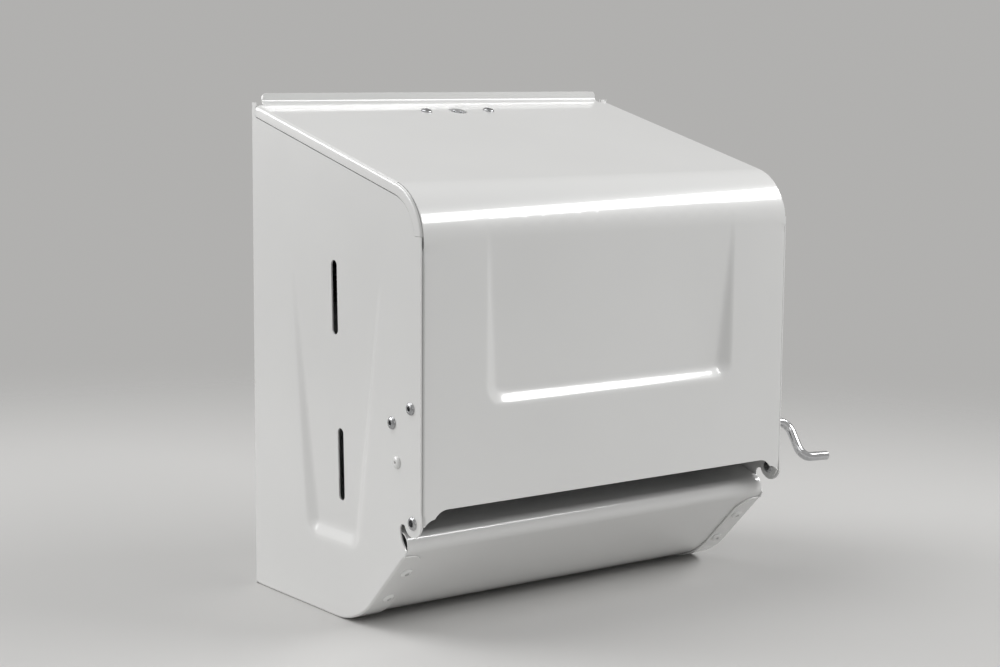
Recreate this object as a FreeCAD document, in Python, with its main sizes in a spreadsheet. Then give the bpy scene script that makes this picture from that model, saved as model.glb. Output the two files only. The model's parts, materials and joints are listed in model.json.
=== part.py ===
"""Lever paper towel dispenser: enamelled sheet steel cabinet with a drop-down cover,
a rolled discharge tray, a sprung lever that drives a feed roller, and a roll holder.

Frame: +X to the right, +Y to the wall, +Z up, millimetres. The origin lies on the wall
plane, in the middle of the width, at the level of the flat bottom. Profiles are drawn
with Y counted from the front plane and are then moved back by the depth.
"""
import FreeCAD, Part
import math
import os

from FreeCAD import Placement, Rotation, Vector

doc = FreeCAD.newDocument("towel_dispenser")

# Driving sizes
SIZES = {
    # Cabinet, outside
    "width": 292.0,
    "depth": 193.0,
    "rear_height": 316.8,
    "gauge": 1.0,
    "top_slope": 14.2,
    "shoulder_radius": 35.0,
    "slant_y": 17.9,
    "slant_z": 52.7,
    "slant_angle": 45.7,
    "keel_radius": 59.0,
    "fold_radius": 1.8,
    "back_return": 9.0,
    "rear_strip": 6.2,
    # Heights counted from the top of the sides' rear edges
    "back_height": -5.3,
    "lip_height": 5.9,
    # Heights counted from the start of the shoulder's bend
    "tongue_low": 3.8,
    "front_press_top": 4.3,
    # Cabinet, hinge ear and hook-shaped notch
    "hinge_y": 8.9,
    "hinge_z": 75.4,
    "ear_radius": 8.6,
    "notch_y": 22.2,
    "notch_z": 72.6,
    "notch_low_z": 60.5,
    "notch_roof": 0.5,
    "notch_waist": 1.4,
    "notch_sag": 2.2,
    "hook_round": 1.2,
    "tip_y": 15.9,
    "tip_z": 56.6,
    # Cabinet, side pressing, slots and lower flange
    "side_press_top": 226.0,
    "side_press_bottom": 46.8,
    "side_press_rear_top": 145.2,
    "side_press_rear_bottom": 126.8,
    "side_press_front_top": 40.6,
    "side_press_front_bottom": 66.7,
    "side_press_depth": 2.5,
    "side_press_wall": 11.0,
    "press_corner": 12.0,
    "slot_width": 6.5,
    "upper_slot_y": 94.4,
    "upper_slot_z": 200.5,
    "upper_slot_length": 46.0,
    "lower_slot_y": 90.6,
    "lower_slot_z": 96.8,
    "lower_slot_length": 45.5,
    "lower_flange": 17.0,
    "lower_flange_round": 12.0,
    # Wall fixing holes
    "wall_hole_radius": 3.25,
    "wall_hole_span": 178.0,
    "wall_hole_rise": 190.0,
    "wall_hole_low": 62.0,
    # Cover
    "band": 7.2,
    "band_gap": 0.6,
    "cover_side_gap": 0.5,
    "cover_low": 83.2,
    "cover_flange": 5.5,
    "cover_setback": 0.9,
    "cover_ear_radius": 7.4,
    "cover_ear_low": 69.5,
    "scallop_width": 22.0,
    "scallop_cusp_x": 12.0,
    "scallop_cusp_z": 78.2,
    "scallop_sag": 1.6,
    "cover_toe": 1.5,
    "lip_inset": 7.4,
    "lip_back_gap": 0.8,
    "lip_bend": 3.0,
    "lip_corner": 3.0,
    "front_press_half": 98.5,
    "front_press_bottom": 141.4,
    "front_press_depth": 4.4,
    "front_press_wall": 10.0,
    # Tray
    "tray_gap": 0.2,
    "tray_end_gap": 0.4,
    "nose_radius": 8.0,
    "chute_y": 58.0,
    "chute_z": 80.0,
    "chute_angle": 18.5,
    "tray_back_flange": 9.0,
    # Rivets and pins
    "rivet_radius": 2.0,
    "rivet_hole_gap": 0.1,
    "rivet_head": 3.9,
    "rivet_head_height": 1.5,
    "rivet_eye": 1.0,
    "rivet_tail": 2.9,
    "rivet_tail_height": 1.4,
    "seat_gap": 0.05,
    "bracket_rivet_a_y": 11.2,
    "bracket_rivet_a_z": 143.4,
    "bracket_rivet_b_y": 30.6,
    "bracket_rivet_b_z": 132.2,
    "pop_rivet_y": 25.3,
    "pop_rivet_z": 109.3,
    "tray_rivet_inset": 10.2,
    "tray_rivet_first": 18.0,
    "tray_rivet_pitch": 27.5,
    "hinge_pin_radius": 2.6,
    "hinge_head": 4.1,
    "hinge_head_height": 1.6,
    "hinge_eye": 1.8,
    "hinge_eye_depth": 3.0,
    "running_gap": 0.06,
    # Bearing brackets
    "bracket_gauge": 1.5,
    "bracket_gap": 0.1,
    "bracket_bend": 3.0,
    "bracket_relief": 0.5,
    "bearing_half": 122.0,
    "bracket_front": 7.2,
    "bracket_pad_rear": 46.0,
    "bracket_rear": 88.0,
    "bracket_low": 89.0,
    "bracket_high": 152.0,
    # Gears
    "lever_y": 32.2,
    "lever_z": 99.0,
    "mesh_angle": 47.0,
    "gear_module": 1.25,
    "pressure_flank": 25.0,
    "tooth_tip": 1.125,
    "tooth_root": 1.5,
    "sector_teeth": 42.0,
    "pinion_teeth": 12.0,
    "sector_run": 12.0,
    "gear_backlash": 0.14,
    "sector_plate": 4.0,
    "sector_start": 126.2,
    "sector_hub": 8.0,
    "sector_hub_side": 0.5,
    "pinion_overhang": 0.6,
    # Feed roller, pressure roller and their bearings
    "feed_radius": 15.0,
    "feed_core_radius": 12.0,
    "feed_core_wall": 2.5,
    "feed_core_end": 6.0,
    "feed_shaft_radius": 4.0,
    "feed_shaft_end": 5.5,
    "shaft_chamfer": 0.5,
    "sleeve_length": 42.0,
    "sleeve_pitch": 80.0,
    "roller_end_gap": 0.7,
    "nip_gap": 0.35,
    "pressure_radius": 8.0,
    "pressure_shaft_radius": 3.0,
    "pressure_shaft_end": 0.6,
    "pressure_angle": 35.0,
    "bush_wall": 2.2,
    "bush_collar": 1.8,
    "bush_rim": 2.0,
    "bush_boss": 1.0,
    "pressure_boss": 5.6,
    "clutch_radius": 6.0,
    "clutch_length": 7.0,
    "clutch_wall": 2.4,
    "leaf_gauge": 0.6,
    "leaf_width": 3.9,
    "leaf_side": 1.7,
    "leaf_foot": 15.5,
    "leaf_rear": 7.2,
    "leaf_tail": 6.0,
    "leaf_gap": 0.3,
    "leaf_knee": 2.5,
    "leaf_elbow": 3.0,
    "leaf_rivet_ahead": 2.0,
    "small_rivet_radius": 1.5,
    "small_rivet_head": 2.8,
    "small_rivet_height": 1.1,
    # Lever
    "rod_radius": 3.175,
    "rod_inner_end": 3.0,
    "lever_stand_off": 37.4,
    "lever_arm": 27.5,
    "lever_lean": 33.6,
    "lever_handle": 24.4,
    "lever_droop": 3.5,
    "lever_bend": 8.5,
    "lever_tip_round": 1.2,
    "lever_boss": 5.0,
    "clip_width": 1.0,
    "clip_rim": 2.2,
    "clip_gap": 0.4,
    "clip_mouth": 4.1,
    "groove_depth": 0.6,
    "spring_wire": 1.4,
    "spring_radius": 6.4,
    "spring_length": 10.0,
    # Tear bar
    "tear_y": 9.8,
    "tear_low": 86.0,
    "tear_high": 101.0,
    "tear_gauge": 1.0,
    "tear_shelf": 11.0,
    "tear_tooth": 3.0,
    "tear_tooth_height": 2.2,
    "tear_tooth_reach": 117.0,
    "tear_rivet_y": 15.3,
    "tear_rivet_z": 95.5,
    # Roll holder
    "roll_y": 105.0,
    "roll_z": 205.0,
    "roll_length": 203.0,
    "roll_side_gap": 0.5,
    "hub_radius": 18.2,
    "hub_draft": 1.2,
    "hub_length": 17.5,
    "hub_wall": 2.6,
    "hub_boss_radius": 6.5,
    "hub_boss_length": 9.0,
    "hub_flange_radius": 24.0,
    "hub_flange": 2.4,
    "hub_gap": 0.8,
    "hub_pin_radius": 3.0,
    "hub_pin_head": 5.2,
    "hub_pin_head_height": 1.8,
    "arm_gauge": 1.5,
    "arm_bend": 3.0,
    "arm_tip_half": 13.0,
    "arm_foot_half": 18.0,
    "arm_foot": 31.0,
    "arm_rivet_reach": 20.0,
    "arm_rivet_rise": 9.0,
    # Lock and strike
    "lock_back": 24.5,
    "lock_radius": 5.4,
    "lock_hole_gap": 0.35,
    "lock_recess": 0.7,
    "lock_wall": 3.0,
    "lock_height": 13.0,
    "lock_plate": 1.2,
    "lock_plate_half": 31.0,
    "lock_plate_width": 15.0,
    "lock_rivet_span": 51.5,
    "keyway_width": 1.8,
    "keyway_length": 7.4,
    "keyway_depth": 6.0,
    "cam_length": 15.0,
    "cam_width": 12.0,
    "cam_plate": 2.0,
    "cam_bore": 2.55,
    "cam_drop": 0.5,
    "tail_rim": 4.0,
    "tail_rim_height": 1.4,
    # Strike, with its heights counted from the lower end of the lock's barrel
    "strike_width": 30.0,
    "strike_high": 5.9,
    "strike_low": -19.5,
    "strike_reach": 9.5,
    "strike_rivet_span": 16.0,
    "strike_rivet_z": -9.5,
}

sheet = doc.addObject("Spreadsheet::Sheet", "sizes")
for row, (alias, number) in enumerate(SIZES.items(), start=1):
    sheet.set(f"A{row}", alias.replace("_", " "))
    sheet.set(f"B{row}", str(number))
    sheet.setAlias(f"B{row}", alias)
doc.recompute()


class Values:
    """Reads a size from the sheet by its alias."""

    def __getattr__(self, alias):
        return float(getattr(sheet, alias))


v = Values()
NODES = []

# Turns a drawing plane's own axes into the part's axes
SIDE_VIEW = Rotation(Vector(0, 1, 0), Vector(0, 0, 1), Vector(1, 0, 0), "XYZ")
FRONT_VIEW = Rotation(Vector(1, 0, 0), Vector(0, 0, 1), Vector(0, -1, 0), "XYZ")
TOP_VIEW = Rotation()


# Flat geometry helpers

def tangent_corner(before, corner, after, radius):
    """Ends and middle of the arc that rounds a corner of an outline."""
    to_before = (before - corner).normalize()
    to_after = (after - corner).normalize()
    half = math.acos(max(-1.0, min(1.0, to_before.dot(to_after)))) / 2
    reach = radius / math.tan(half)
    inward = (to_before + to_after).normalize()
    centre = corner + inward * (radius / math.sin(half))
    middle = centre - inward * radius
    return corner + to_before * reach, middle, corner + to_after * reach


def loop(corners):
    """Closed outline through (u, v) or (u, v, radius) corners, as lines and arcs."""
    points = [Vector(c[0], c[1], 0) for c in corners]
    radii = [c[2] if len(c) > 2 else 0.0 for c in corners]
    count = len(points)
    stops = []
    for i in range(count):
        if radii[i] > 0:
            stops.append(tangent_corner(points[i - 1], points[i], points[(i + 1) % count], radii[i]))
        else:
            stops.append((points[i], None, points[i]))
    edges = []
    for i in range(count):
        first, middle, last = stops[i]
        if middle is not None:
            edges.append(Part.Arc(first, middle, last))
        following = stops[(i + 1) % count][0]
        if last.distanceToPoint(following) > 1e-6:
            edges.append(Part.LineSegment(last, following))
    return edges


def slot(u, w, width, length):
    """Upright slot with round ends."""
    half, rise = width / 2, length / 2
    low, high = w - rise, w + rise
    return loop([(u - half, low, half * 0.999), (u + half, low, half * 0.999),
                 (u + half, high, half * 0.999), (u - half, high, half * 0.999)])


def offset_path(path, distance):
    """Open path moved to its right-hand side; each corner's radius follows."""
    points = [Vector(p[0], p[1], 0) for p in path]
    radii = [p[2] if len(p) > 2 else 0.0 for p in path]
    moved = []
    for i, point in enumerate(points):
        ahead = (points[i + 1] - point).normalize() if i + 1 < len(points) else None
        behind = (point - points[i - 1]).normalize() if i > 0 else None
        if ahead is None or behind is None:
            way = ahead if behind is None else behind
            shift = Vector(way.y, -way.x, 0) * distance
            moved.append((point.x + shift.x, point.y + shift.y))
            continue
        right_in = Vector(behind.y, -behind.x, 0)
        right_out = Vector(ahead.y, -ahead.x, 0)
        bisector = (right_in + right_out).normalize()
        shift = bisector * (distance / bisector.dot(right_in))
        turns_right = behind.cross(ahead).z < 0
        radius = radii[i] - distance if turns_right else radii[i] + distance
        moved.append((point.x + shift.x, point.y + shift.y, max(radius, 0.0) if radii[i] else 0.0))
    return moved


def bent_sheet(path, thickness):
    """Closed outline of a bent sheet whose one face follows the path."""
    return loop(list(path) + list(reversed(offset_path(path, thickness))))


def along(point, angle, distance):
    """Point at a distance from another, at an angle in degrees from the first axis."""
    turn = math.radians(angle)
    return point[0] + distance * math.cos(turn), point[1] + distance * math.sin(turn)


# Document helpers: every profile is a sketch, every solid an object of the document

def sketch(name, view, outlines, place=None):
    """Sketch in one of the three views; place binds its position to the sheet."""
    outline = doc.addObject("Sketcher::SketchObject", name + "_sketch")
    for geometry in outlines:
        outline.addGeometry(geometry, False)
    outline.Placement = Placement(Vector(), view)
    for axis, formula in (place or {}).items():
        outline.setExpression(f"Placement.Base.{axis}", formula)
    return outline


def extrude(name, view, outlines, length, place=None):
    """Solid of a sketch, drawn out along its view's third axis."""
    solid = doc.addObject("Part::Extrusion", name)
    solid.Base = sketch(name, view, outlines, place)
    solid.DirMode = "Normal"
    solid.Solid = True
    solid.setExpression("LengthFwd", length)
    return solid


def rod(name, radius, length, axis, place):
    """Round bar of a bound radius and length that starts at a bound place."""
    bar = doc.addObject("Part::Cylinder", name)
    bar.setExpression("Radius", radius)
    bar.setExpression("Height", length)
    bar.Placement = Placement(Vector(), Rotation(Vector(0, 0, 1), axis))
    for letter, formula in place.items():
        bar.setExpression(f"Placement.Base.{letter}", formula)
    return bar


def fuse(name, shapes):
    """One solid from several, with no seams left between flush faces."""
    joined = doc.addObject("Part::MultiFuse", name)
    joined.Shapes = shapes
    joined.Refine = True
    return joined


def cut(name, base, tools):
    """Base with every tool taken out."""
    for number, tool in enumerate(tools):
        carved = doc.addObject("Part::Cut", f"{name}_cut{number}")
        carved.Base = base
        carved.Tool = tool
        carved.Refine = True
        base = carved
    return base


def common(name, base, tool):
    """What two solids share."""
    shared = doc.addObject("Part::Common", name)
    shared.Base = base
    shared.Tool = tool
    return shared


def mirrored(name, source):
    """Twin of a solid on the other side of the middle plane."""
    twin = doc.addObject("Part::Mirroring", name)
    twin.Source = source
    twin.Normal = Vector(1, 0, 0)
    return twin


def node(label, item):
    """Registers a finished sub-part under its own label."""
    item.Label = label
    NODES.append((label, item))
    return item


def feature(label, shape, place=None):
    """Sub-part whose shape is worked out here from the sheet's sizes."""
    item = doc.addObject("Part::Feature", label)
    item.Shape = shape
    item.Placement = place or Placement()
    return node(label, item)


def lathe(label, half_section, axis, place):
    """Turned sub-part: a body with a revolved half section (distance along, radius)."""
    body = doc.addObject("PartDesign::Body", label)
    plane = next(p for p in body.Origin.OriginFeatures if p.Role == "XY_Plane")
    outline = body.newObject("Sketcher::SketchObject", label + "_section")
    outline.AttachmentSupport = (plane, [""])
    outline.MapMode = "FlatFace"
    outline.addGeometry(loop(half_section), False)
    turned = body.newObject("PartDesign::Revolution", label + "_turned")
    turned.Profile = outline
    turned.ReferenceAxis = (outline, ["H_Axis"])
    turned.Angle = 360.0
    body.Tip = turned
    body.Placement = Placement(Vector(), Rotation(Vector(1, 0, 0), axis))
    for letter, formula in place.items():
        body.setExpression(f"Placement.Base.{letter}", formula)
    return body


HALF = "sizes.width / 2"
FRONT = {"y": "-sizes.depth"}

# Outside contour of cover and cabinet, seen from the side
slope = math.tan(math.radians(v.top_slope))


def top_line(y_from_front):
    """Height of the sloping top above a point counted from the front."""
    return v.rear_height - (v.depth - y_from_front) * slope


shoulder_corner = (0.0, top_line(0.0))
slant_way = (math.cos(math.radians(v.slant_angle)), -math.sin(math.radians(v.slant_angle)))
keel_y = v.slant_y + v.slant_z * slant_way[0] / -slant_way[1]
shoulder_reach = v.shoulder_radius * math.tan(math.radians((90 - v.top_slope) / 2))
shoulder_start = shoulder_corner[1] - shoulder_reach
tongue_end = shoulder_start + v.tongue_low
back_top = v.rear_height + v.back_height
lip_top = v.rear_height + v.lip_height


# Pressed panels: a shallow recess that starts at nothing at its top edge

def offset_inward(corners, distance):
    """Closed outline with every side moved in; round corners keep a third of their radius."""
    points = [Vector(c[0], c[1], 0) for c in corners]
    moved = []
    for i, point in enumerate(points):
        way_in = (point - points[i - 1]).normalize()
        way_out = (points[(i + 1) % len(points)] - point).normalize()
        left_in = Vector(-way_in.y, way_in.x, 0)
        left_out = Vector(-way_out.y, way_out.x, 0)
        bisector = (left_in + left_out).normalize()
        shift = bisector * (distance / bisector.dot(left_in))
        radius = corners[i][2] / 3 if len(corners[i]) > 2 else 0.0
        moved.append((point.x + shift.x, point.y + shift.y, radius))
    return moved


def recess(name, view, rim_outline, wall, rim_place, floor_place, wedge):
    """Sloping walls between a rim and a smaller floor, cut off by a tilted wedge."""
    rim = sketch(name + "_rim", view, [loop(rim_outline)], rim_place)
    floor = sketch(name + "_floor", view, [loop(offset_inward(rim_outline, wall))], floor_place)
    walls = doc.addObject("Part::Loft", name + "_walls")
    walls.Sections = [rim, floor]
    walls.Solid = True
    walls.Ruled = True
    return common(name, walls, wedge)


def side_recess(name, inset):
    """Recess of the left side panel, pushed in by an inset formula."""
    top, low = v.side_press_top, v.side_press_bottom
    over = top + v.side_press_wall
    rear_lean = (v.side_press_rear_top - v.side_press_rear_bottom) / (top - low)
    front_lean = (v.side_press_front_top - v.side_press_front_bottom) / (top - low)
    rim = [(v.side_press_front_bottom, low, v.press_corner),
           (v.side_press_rear_bottom, low, v.press_corner),
           (v.side_press_rear_top + rear_lean * v.side_press_wall, over),
           (v.side_press_front_top + front_lean * v.side_press_wall, over)]
    face = f"-{HALF} + {inset}"
    floor = f"{face} + sizes.side_press_depth"
    below = low - v.press_corner
    fall = v.side_press_depth * (top - below) / (top - low)
    wedge = extrude(name + "_wedge", FRONT_VIEW, [loop([(0.0, top), (0.0, below), (fall, below)])],
                    "sizes.depth", {"x": face})
    return recess(name, SIDE_VIEW, rim, v.side_press_wall, {"x": face, **FRONT},
                  {"x": floor, **FRONT}, wedge)


def front_recess(name, inset):
    """Recess of the cover's front, pushed in by an inset formula."""
    top, low, half = shoulder_start + v.front_press_top, v.front_press_bottom, v.front_press_half
    over = top + v.front_press_wall
    rim = [(-half, low, v.press_corner), (half, low, v.press_corner), (half, over), (-half, over)]
    face = f"-sizes.depth + {inset}"
    floor = f"{face} + sizes.front_press_depth"
    below = low - v.press_corner
    fall = v.front_press_depth * (top - below) / (top - low)
    wedge = extrude(name + "_wedge", SIDE_VIEW, [loop([(0.0, top), (0.0, below), (fall, below)])],
                    "sizes.width", {"x": f"-{HALF}", "y": face})
    return recess(name, FRONT_VIEW, rim, v.front_press_wall, {"y": face}, {"y": floor}, wedge)


# Cabinet shell: a back and two sides bent from one sheet

def panel_outline():
    """Side panel seen from the left, from the lower rear corner round."""
    seam = offset_path([(v.depth, v.rear_height), (shoulder_corner[0], shoulder_corner[1],
                        v.shoulder_radius), (0.0, v.cover_low)], -v.band)
    rear = v.depth - v.rear_strip
    gap = v.band_gap / math.cos(math.radians(v.top_slope))
    centre = (v.shoulder_radius, shoulder_start)
    radius = v.shoulder_radius - v.band - v.band_gap
    shelf = tongue_end - v.band_gap
    reach = -math.sqrt(radius ** 2 - (shelf - shoulder_start) ** 2)
    start = math.degrees(math.atan2(shelf - shoulder_start, reach))
    end = 90.0 + v.top_slope
    arc = [along(centre, start + (end - start) * part, radius) for part in (0.0, 0.5, 1.0)]
    slope_rear = (rear, seam[1][1] + (rear - seam[1][0]) * slope - gap)
    edges = [Part.LineSegment(Vector(v.depth, 0, 0), Vector(v.depth, v.rear_height, 0)),
             Part.LineSegment(Vector(v.depth, v.rear_height, 0), Vector(rear, v.rear_height, 0)),
             Part.LineSegment(Vector(rear, v.rear_height, 0), Vector(*slope_rear, 0)),
             Part.LineSegment(Vector(*slope_rear, 0), Vector(*arc[2], 0)),
             Part.Arc(Vector(*arc[2], 0), Vector(*arc[1], 0), Vector(*arc[0], 0)),
             Part.LineSegment(Vector(*arc[0], 0), Vector(v.cover_setback, shelf, 0))]
    return edges + ear_and_notch() + lower_front()


def ear_and_notch():
    """Front edge, the round ear of the hinge pin and the hook-shaped notch behind it."""
    pin = (v.hinge_y, v.hinge_z)
    cusp_angle = math.degrees(math.asin((v.notch_z - v.hinge_z) / v.ear_radius))
    shelf = Vector(v.cover_setback, tongue_end - v.band_gap, 0)
    ear_top = Vector(v.cover_setback, v.hinge_z + v.ear_radius, 0)
    ear_front = Vector(v.hinge_y - v.ear_radius, v.hinge_z, 0)
    ear_low = Vector(*along(pin, (180 + 360 + cusp_angle) / 2, v.ear_radius), 0)
    cusp = Vector(*along(pin, cusp_angle, v.ear_radius), 0)
    roof = Vector((cusp.x + v.notch_y) / 2, v.notch_z + v.notch_roof, 0)
    rear = Vector(v.notch_y, v.notch_z - (v.notch_y - cusp.x) / 2, 0)
    waist = Vector(v.notch_y - v.notch_waist, (v.notch_z + v.notch_low_z) / 2 - v.notch_sag, 0)
    hook = Vector(v.tip_y + v.hook_round, v.notch_low_z - v.hook_round, 0)
    tip = Vector(v.tip_y, v.tip_z, 0)
    return [Part.LineSegment(shelf, ear_top), Part.LineSegment(ear_top, ear_front),
            Part.Arc(ear_front, ear_low, cusp), Part.Arc(cusp, roof, rear), Part.Arc(rear, waist, hook),
            Part.LineSegment(hook, tip), Part.LineSegment(tip, Vector(v.slant_y, v.slant_z, 0))]


def lower_front():
    """Slanted lower front, the large bottom corner and the flat bottom."""
    corner = Vector(keel_y, 0, 0)
    first, middle, last = tangent_corner(Vector(v.slant_y, v.slant_z, 0), corner,
                                         Vector(v.depth, 0, 0), v.keel_radius)
    return [Part.LineSegment(Vector(v.slant_y, v.slant_z, 0), first), Part.Arc(first, middle, last),
            Part.LineSegment(last, Vector(v.depth, 0, 0))]


# Places that several pieces share
lock_top = v.rear_height - v.lock_back * slope
barrel_low = lock_top - (v.lock_height + v.cam_drop) * math.cos(math.radians(v.top_slope))
arm_face = v.roll_length / 2 + v.roll_side_gap + v.hub_flange + v.hub_gap
back_face = v.gauge + v.seat_gap
ARM_RIVETS = [(side * (arm_face + v.arm_rivet_reach), v.roll_z + rise * v.arm_rivet_rise)
              for side in (-1, 1) for rise in (-1, 1)]
STRIKE_RIVETS = [(side * v.strike_rivet_span / 2, barrel_low + v.strike_rivet_z) for side in (-1, 1)]

INNER_FACE = f"-{HALF} + sizes.gauge"
THROUGH = 8.0
TOWARDS_X = Vector(1, 0, 0)
slant_normal = Vector(0, slant_way[1], -slant_way[0])


def slant_point(distance):
    """Formulas of the point on the slanted front, a distance down from its top."""
    return {"y": f"-sizes.depth + sizes.slant_y + ({distance})*cos(sizes.slant_angle)",
            "z": f"sizes.slant_z - ({distance})*sin(sizes.slant_angle)"}


def slant_hole(name, radius, distance):
    """Drill through the left lower flange, square to the slanted front."""
    place = slant_point(distance)
    place = {"x": f"-{HALF} + sizes.tray_rivet_inset",
             "y": f"{place['y']} + {THROUGH}*sin(sizes.slant_angle)",
             "z": f"{place['z']} + {THROUGH}*cos(sizes.slant_angle)"}
    return rod(name, radius, f"2*{THROUGH}", slant_normal, place)


TRAY_RIVETS = ["sizes.tray_rivet_first", "sizes.tray_rivet_first + sizes.tray_rivet_pitch"]
HOLE = "sizes.rivet_radius + sizes.rivet_hole_gap"
BRACKET_RIVETS = [("sizes.bracket_rivet_a_y", "sizes.bracket_rivet_a_z"),
                  ("sizes.bracket_rivet_b_y", "sizes.bracket_rivet_b_z")]
POP_RIVETS = [("sizes.pop_rivet_y", "sizes.pop_rivet_z")]


def side_drill(name, radius, y_from_front, z, start=f"-{HALF} - 1", length=f"{THROUGH}"):
    """Drill along X through the left side."""
    return rod(name, radius, length, TOWARDS_X,
               {"x": start, "y": f"-sizes.depth + {y_from_front}", "z": z})


def left_side():
    """Left side panel with its pressing, slots, ear, notch and inward lower flange."""
    plate = extrude("side_plate", SIDE_VIEW, [panel_outline()], "sizes.gauge", {"x": f"-{HALF}", **FRONT})
    lower_path = [(v.slant_y, v.slant_z), (keel_y, 0.0, v.keel_radius), (v.depth, 0.0)]
    flange = extrude("side_flange", SIDE_VIEW, [bent_sheet(lower_path, -v.gauge)],
                     "sizes.lower_flange", {"x": f"-{HALF}", **FRONT})
    blank = fuse("side_blank", [plate, flange, side_recess("side_bump", "sizes.gauge")])
    slots = [extrude("side_upper_slot", SIDE_VIEW,
                     [slot(v.upper_slot_y, v.upper_slot_z, v.slot_width, v.upper_slot_length)],
                     f"{THROUGH}", {"x": f"-{HALF} - 1", **FRONT}),
             extrude("side_lower_slot", SIDE_VIEW,
                     [slot(v.lower_slot_y, v.lower_slot_z, v.slot_width, v.lower_slot_length)],
                     f"{THROUGH}", {"x": f"-{HALF} - 1", **FRONT})]
    drills = [side_drill(f"side_rivet_hole{i}", HOLE, *at)
              for i, at in enumerate(BRACKET_RIVETS + POP_RIVETS)]
    drills.append(side_drill("side_pin_hole", "sizes.hinge_pin_radius + sizes.running_gap",
                             "sizes.hinge_y", "sizes.hinge_z"))
    drills += [slant_hole(f"side_tray_hole{i}", HOLE, at) for i, at in enumerate(TRAY_RIVETS)]
    return cut("side", blank, [side_recess("side_void", "0"), flange_corner()] + slots + drills)


def flange_corner():
    """Waste outside the rounded upper end of the lower flange."""
    edge = -v.width / 2 + v.lower_flange
    radius = v.lower_flange_round
    centre = (edge - radius, -radius)
    middle = along(centre, 45.0, radius)
    outline = [Part.Arc(Vector(edge - radius, 0, 0), Vector(*middle, 0), Vector(edge, -radius, 0)),
               Part.LineSegment(Vector(edge, -radius, 0), Vector(edge + radius, -radius, 0)),
               Part.LineSegment(Vector(edge + radius, -radius, 0), Vector(edge + radius, radius, 0)),
               Part.LineSegment(Vector(edge + radius, radius, 0), Vector(edge - radius, radius, 0)),
               Part.LineSegment(Vector(edge - radius, radius, 0), Vector(edge - radius, 0, 0))]
    view = Rotation(Vector(1, 0, 0), Vector(0, -slant_way[0], -slant_way[1]), Vector(), "XYZ")
    waste = doc.addObject("Part::Extrusion", "flange_corner")
    waste.Base = sketch("flange_corner", view, [outline], slant_point("0"))
    waste.DirMode = "Normal"
    waste.Solid = True
    waste.setExpression("LengthFwd", "4*sizes.gauge")
    waste.setExpression("LengthRev", "4*sizes.gauge")
    return waste


def wall_drills():
    """Four holes in the back for the screws into the wall."""
    drills = []
    for column in (-1, 1):
        for row in (0, 1):
            drills.append(rod(f"wall_hole_{column}_{row}", "sizes.wall_hole_radius", "3*sizes.gauge",
                              Vector(0, 1, 0),
                              {"x": f"{column}*sizes.wall_hole_span / 2", "y": "-2*sizes.gauge",
                               "z": f"sizes.wall_hole_low + {row}*sizes.wall_hole_rise"}))
    for i, (x, z) in enumerate(ARM_RIVETS + STRIKE_RIVETS):
        drills.append(rod(f"back_rivet_hole{i}", HOLE, "3*sizes.gauge", Vector(0, 1, 0),
                          {"x": f"{x}", "y": "-2*sizes.gauge", "z": f"{z}"}))
    return drills


def cabinet_shell():
    """Back and both sides in one piece, with the lever's hole in the right side."""
    left = left_side()
    right = mirrored("right_side", left)
    below_fold = back_top - 2 * v.fold_radius
    back = extrude("back_plate", SIDE_VIEW,
                   [loop([(v.depth - v.gauge, 0.0), (v.depth, 0.0), (v.depth, below_fold),
                          (v.depth - v.gauge, below_fold)])], "sizes.width", {"x": f"-{HALF}", **FRONT})
    fold_path = [(v.depth, 0.0), (v.depth, back_top, v.fold_radius), (v.depth - v.back_return, back_top)]
    fold = extrude("back_fold", SIDE_VIEW, [bent_sheet(fold_path, -v.gauge)],
                   "sizes.width - 2*(sizes.gauge + sizes.cover_side_gap)",
                   {"x": f"-{HALF} + sizes.gauge + sizes.cover_side_gap", **FRONT})
    whole = fuse("shell_blank", [left, right, back, fold])
    lever_hole = rod("lever_hole", "sizes.rod_radius + sizes.bush_wall + sizes.seat_gap", "4*sizes.gauge",
                     TOWARDS_X, {"x": f"{HALF} - 2*sizes.gauge", "y": "-sizes.depth + sizes.lever_y",
                                 "z": "sizes.lever_z"})
    return node("cabinet_shell", cut("shell", whole, [lever_hole] + wall_drills()))


cabinet_shell()


# Discharge tray: paper chute, rolled nose, slanted front and flat bottom in one sheet

def tray_path():
    """Outer face of the tray from the rear of the chute round to the rear flange."""
    seat = v.gauge + v.tray_gap
    lower = offset_path([(v.slant_y, v.slant_z), (keel_y, 0.0, v.keel_radius), (v.depth, 0.0)], -seat)
    chute_rise = math.tan(math.radians(v.chute_angle))
    fall = slant_way[1] / slant_way[0]
    start = lower[0]
    nose_y = (start[1] - fall * start[0] - v.chute_z + chute_rise * v.chute_y) / (chute_rise - fall)
    nose = (nose_y, v.chute_z - (v.chute_y - nose_y) * chute_rise, v.nose_radius)
    rear = v.depth - v.gauge - v.tray_end_gap
    return [(v.chute_y, v.chute_z), nose, lower[1], (rear, seat, v.fold_radius),
            (rear, seat + v.tray_back_flange)]


def discharge_tray():
    """The tray lies inside the lower flanges and is riveted to them."""
    tray = extrude("tray_sheet", SIDE_VIEW, [bent_sheet(tray_path(), -v.gauge)],
                   "sizes.width - 2*(sizes.gauge + sizes.tray_end_gap)",
                   {"x": f"{INNER_FACE} + sizes.tray_end_gap", **FRONT})
    drills = [slant_hole(f"tray_hole{i}", HOLE, at) for i, at in enumerate(TRAY_RIVETS)]
    drills += [mirrored(f"tray_hole_right{i}", drill) for i, drill in enumerate(list(drills))]
    return node("discharge_tray", cut("tray", tray, drills))


discharge_tray()


# Cover: front, shoulder and top in one sheet, hinged on two pins low in front

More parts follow.
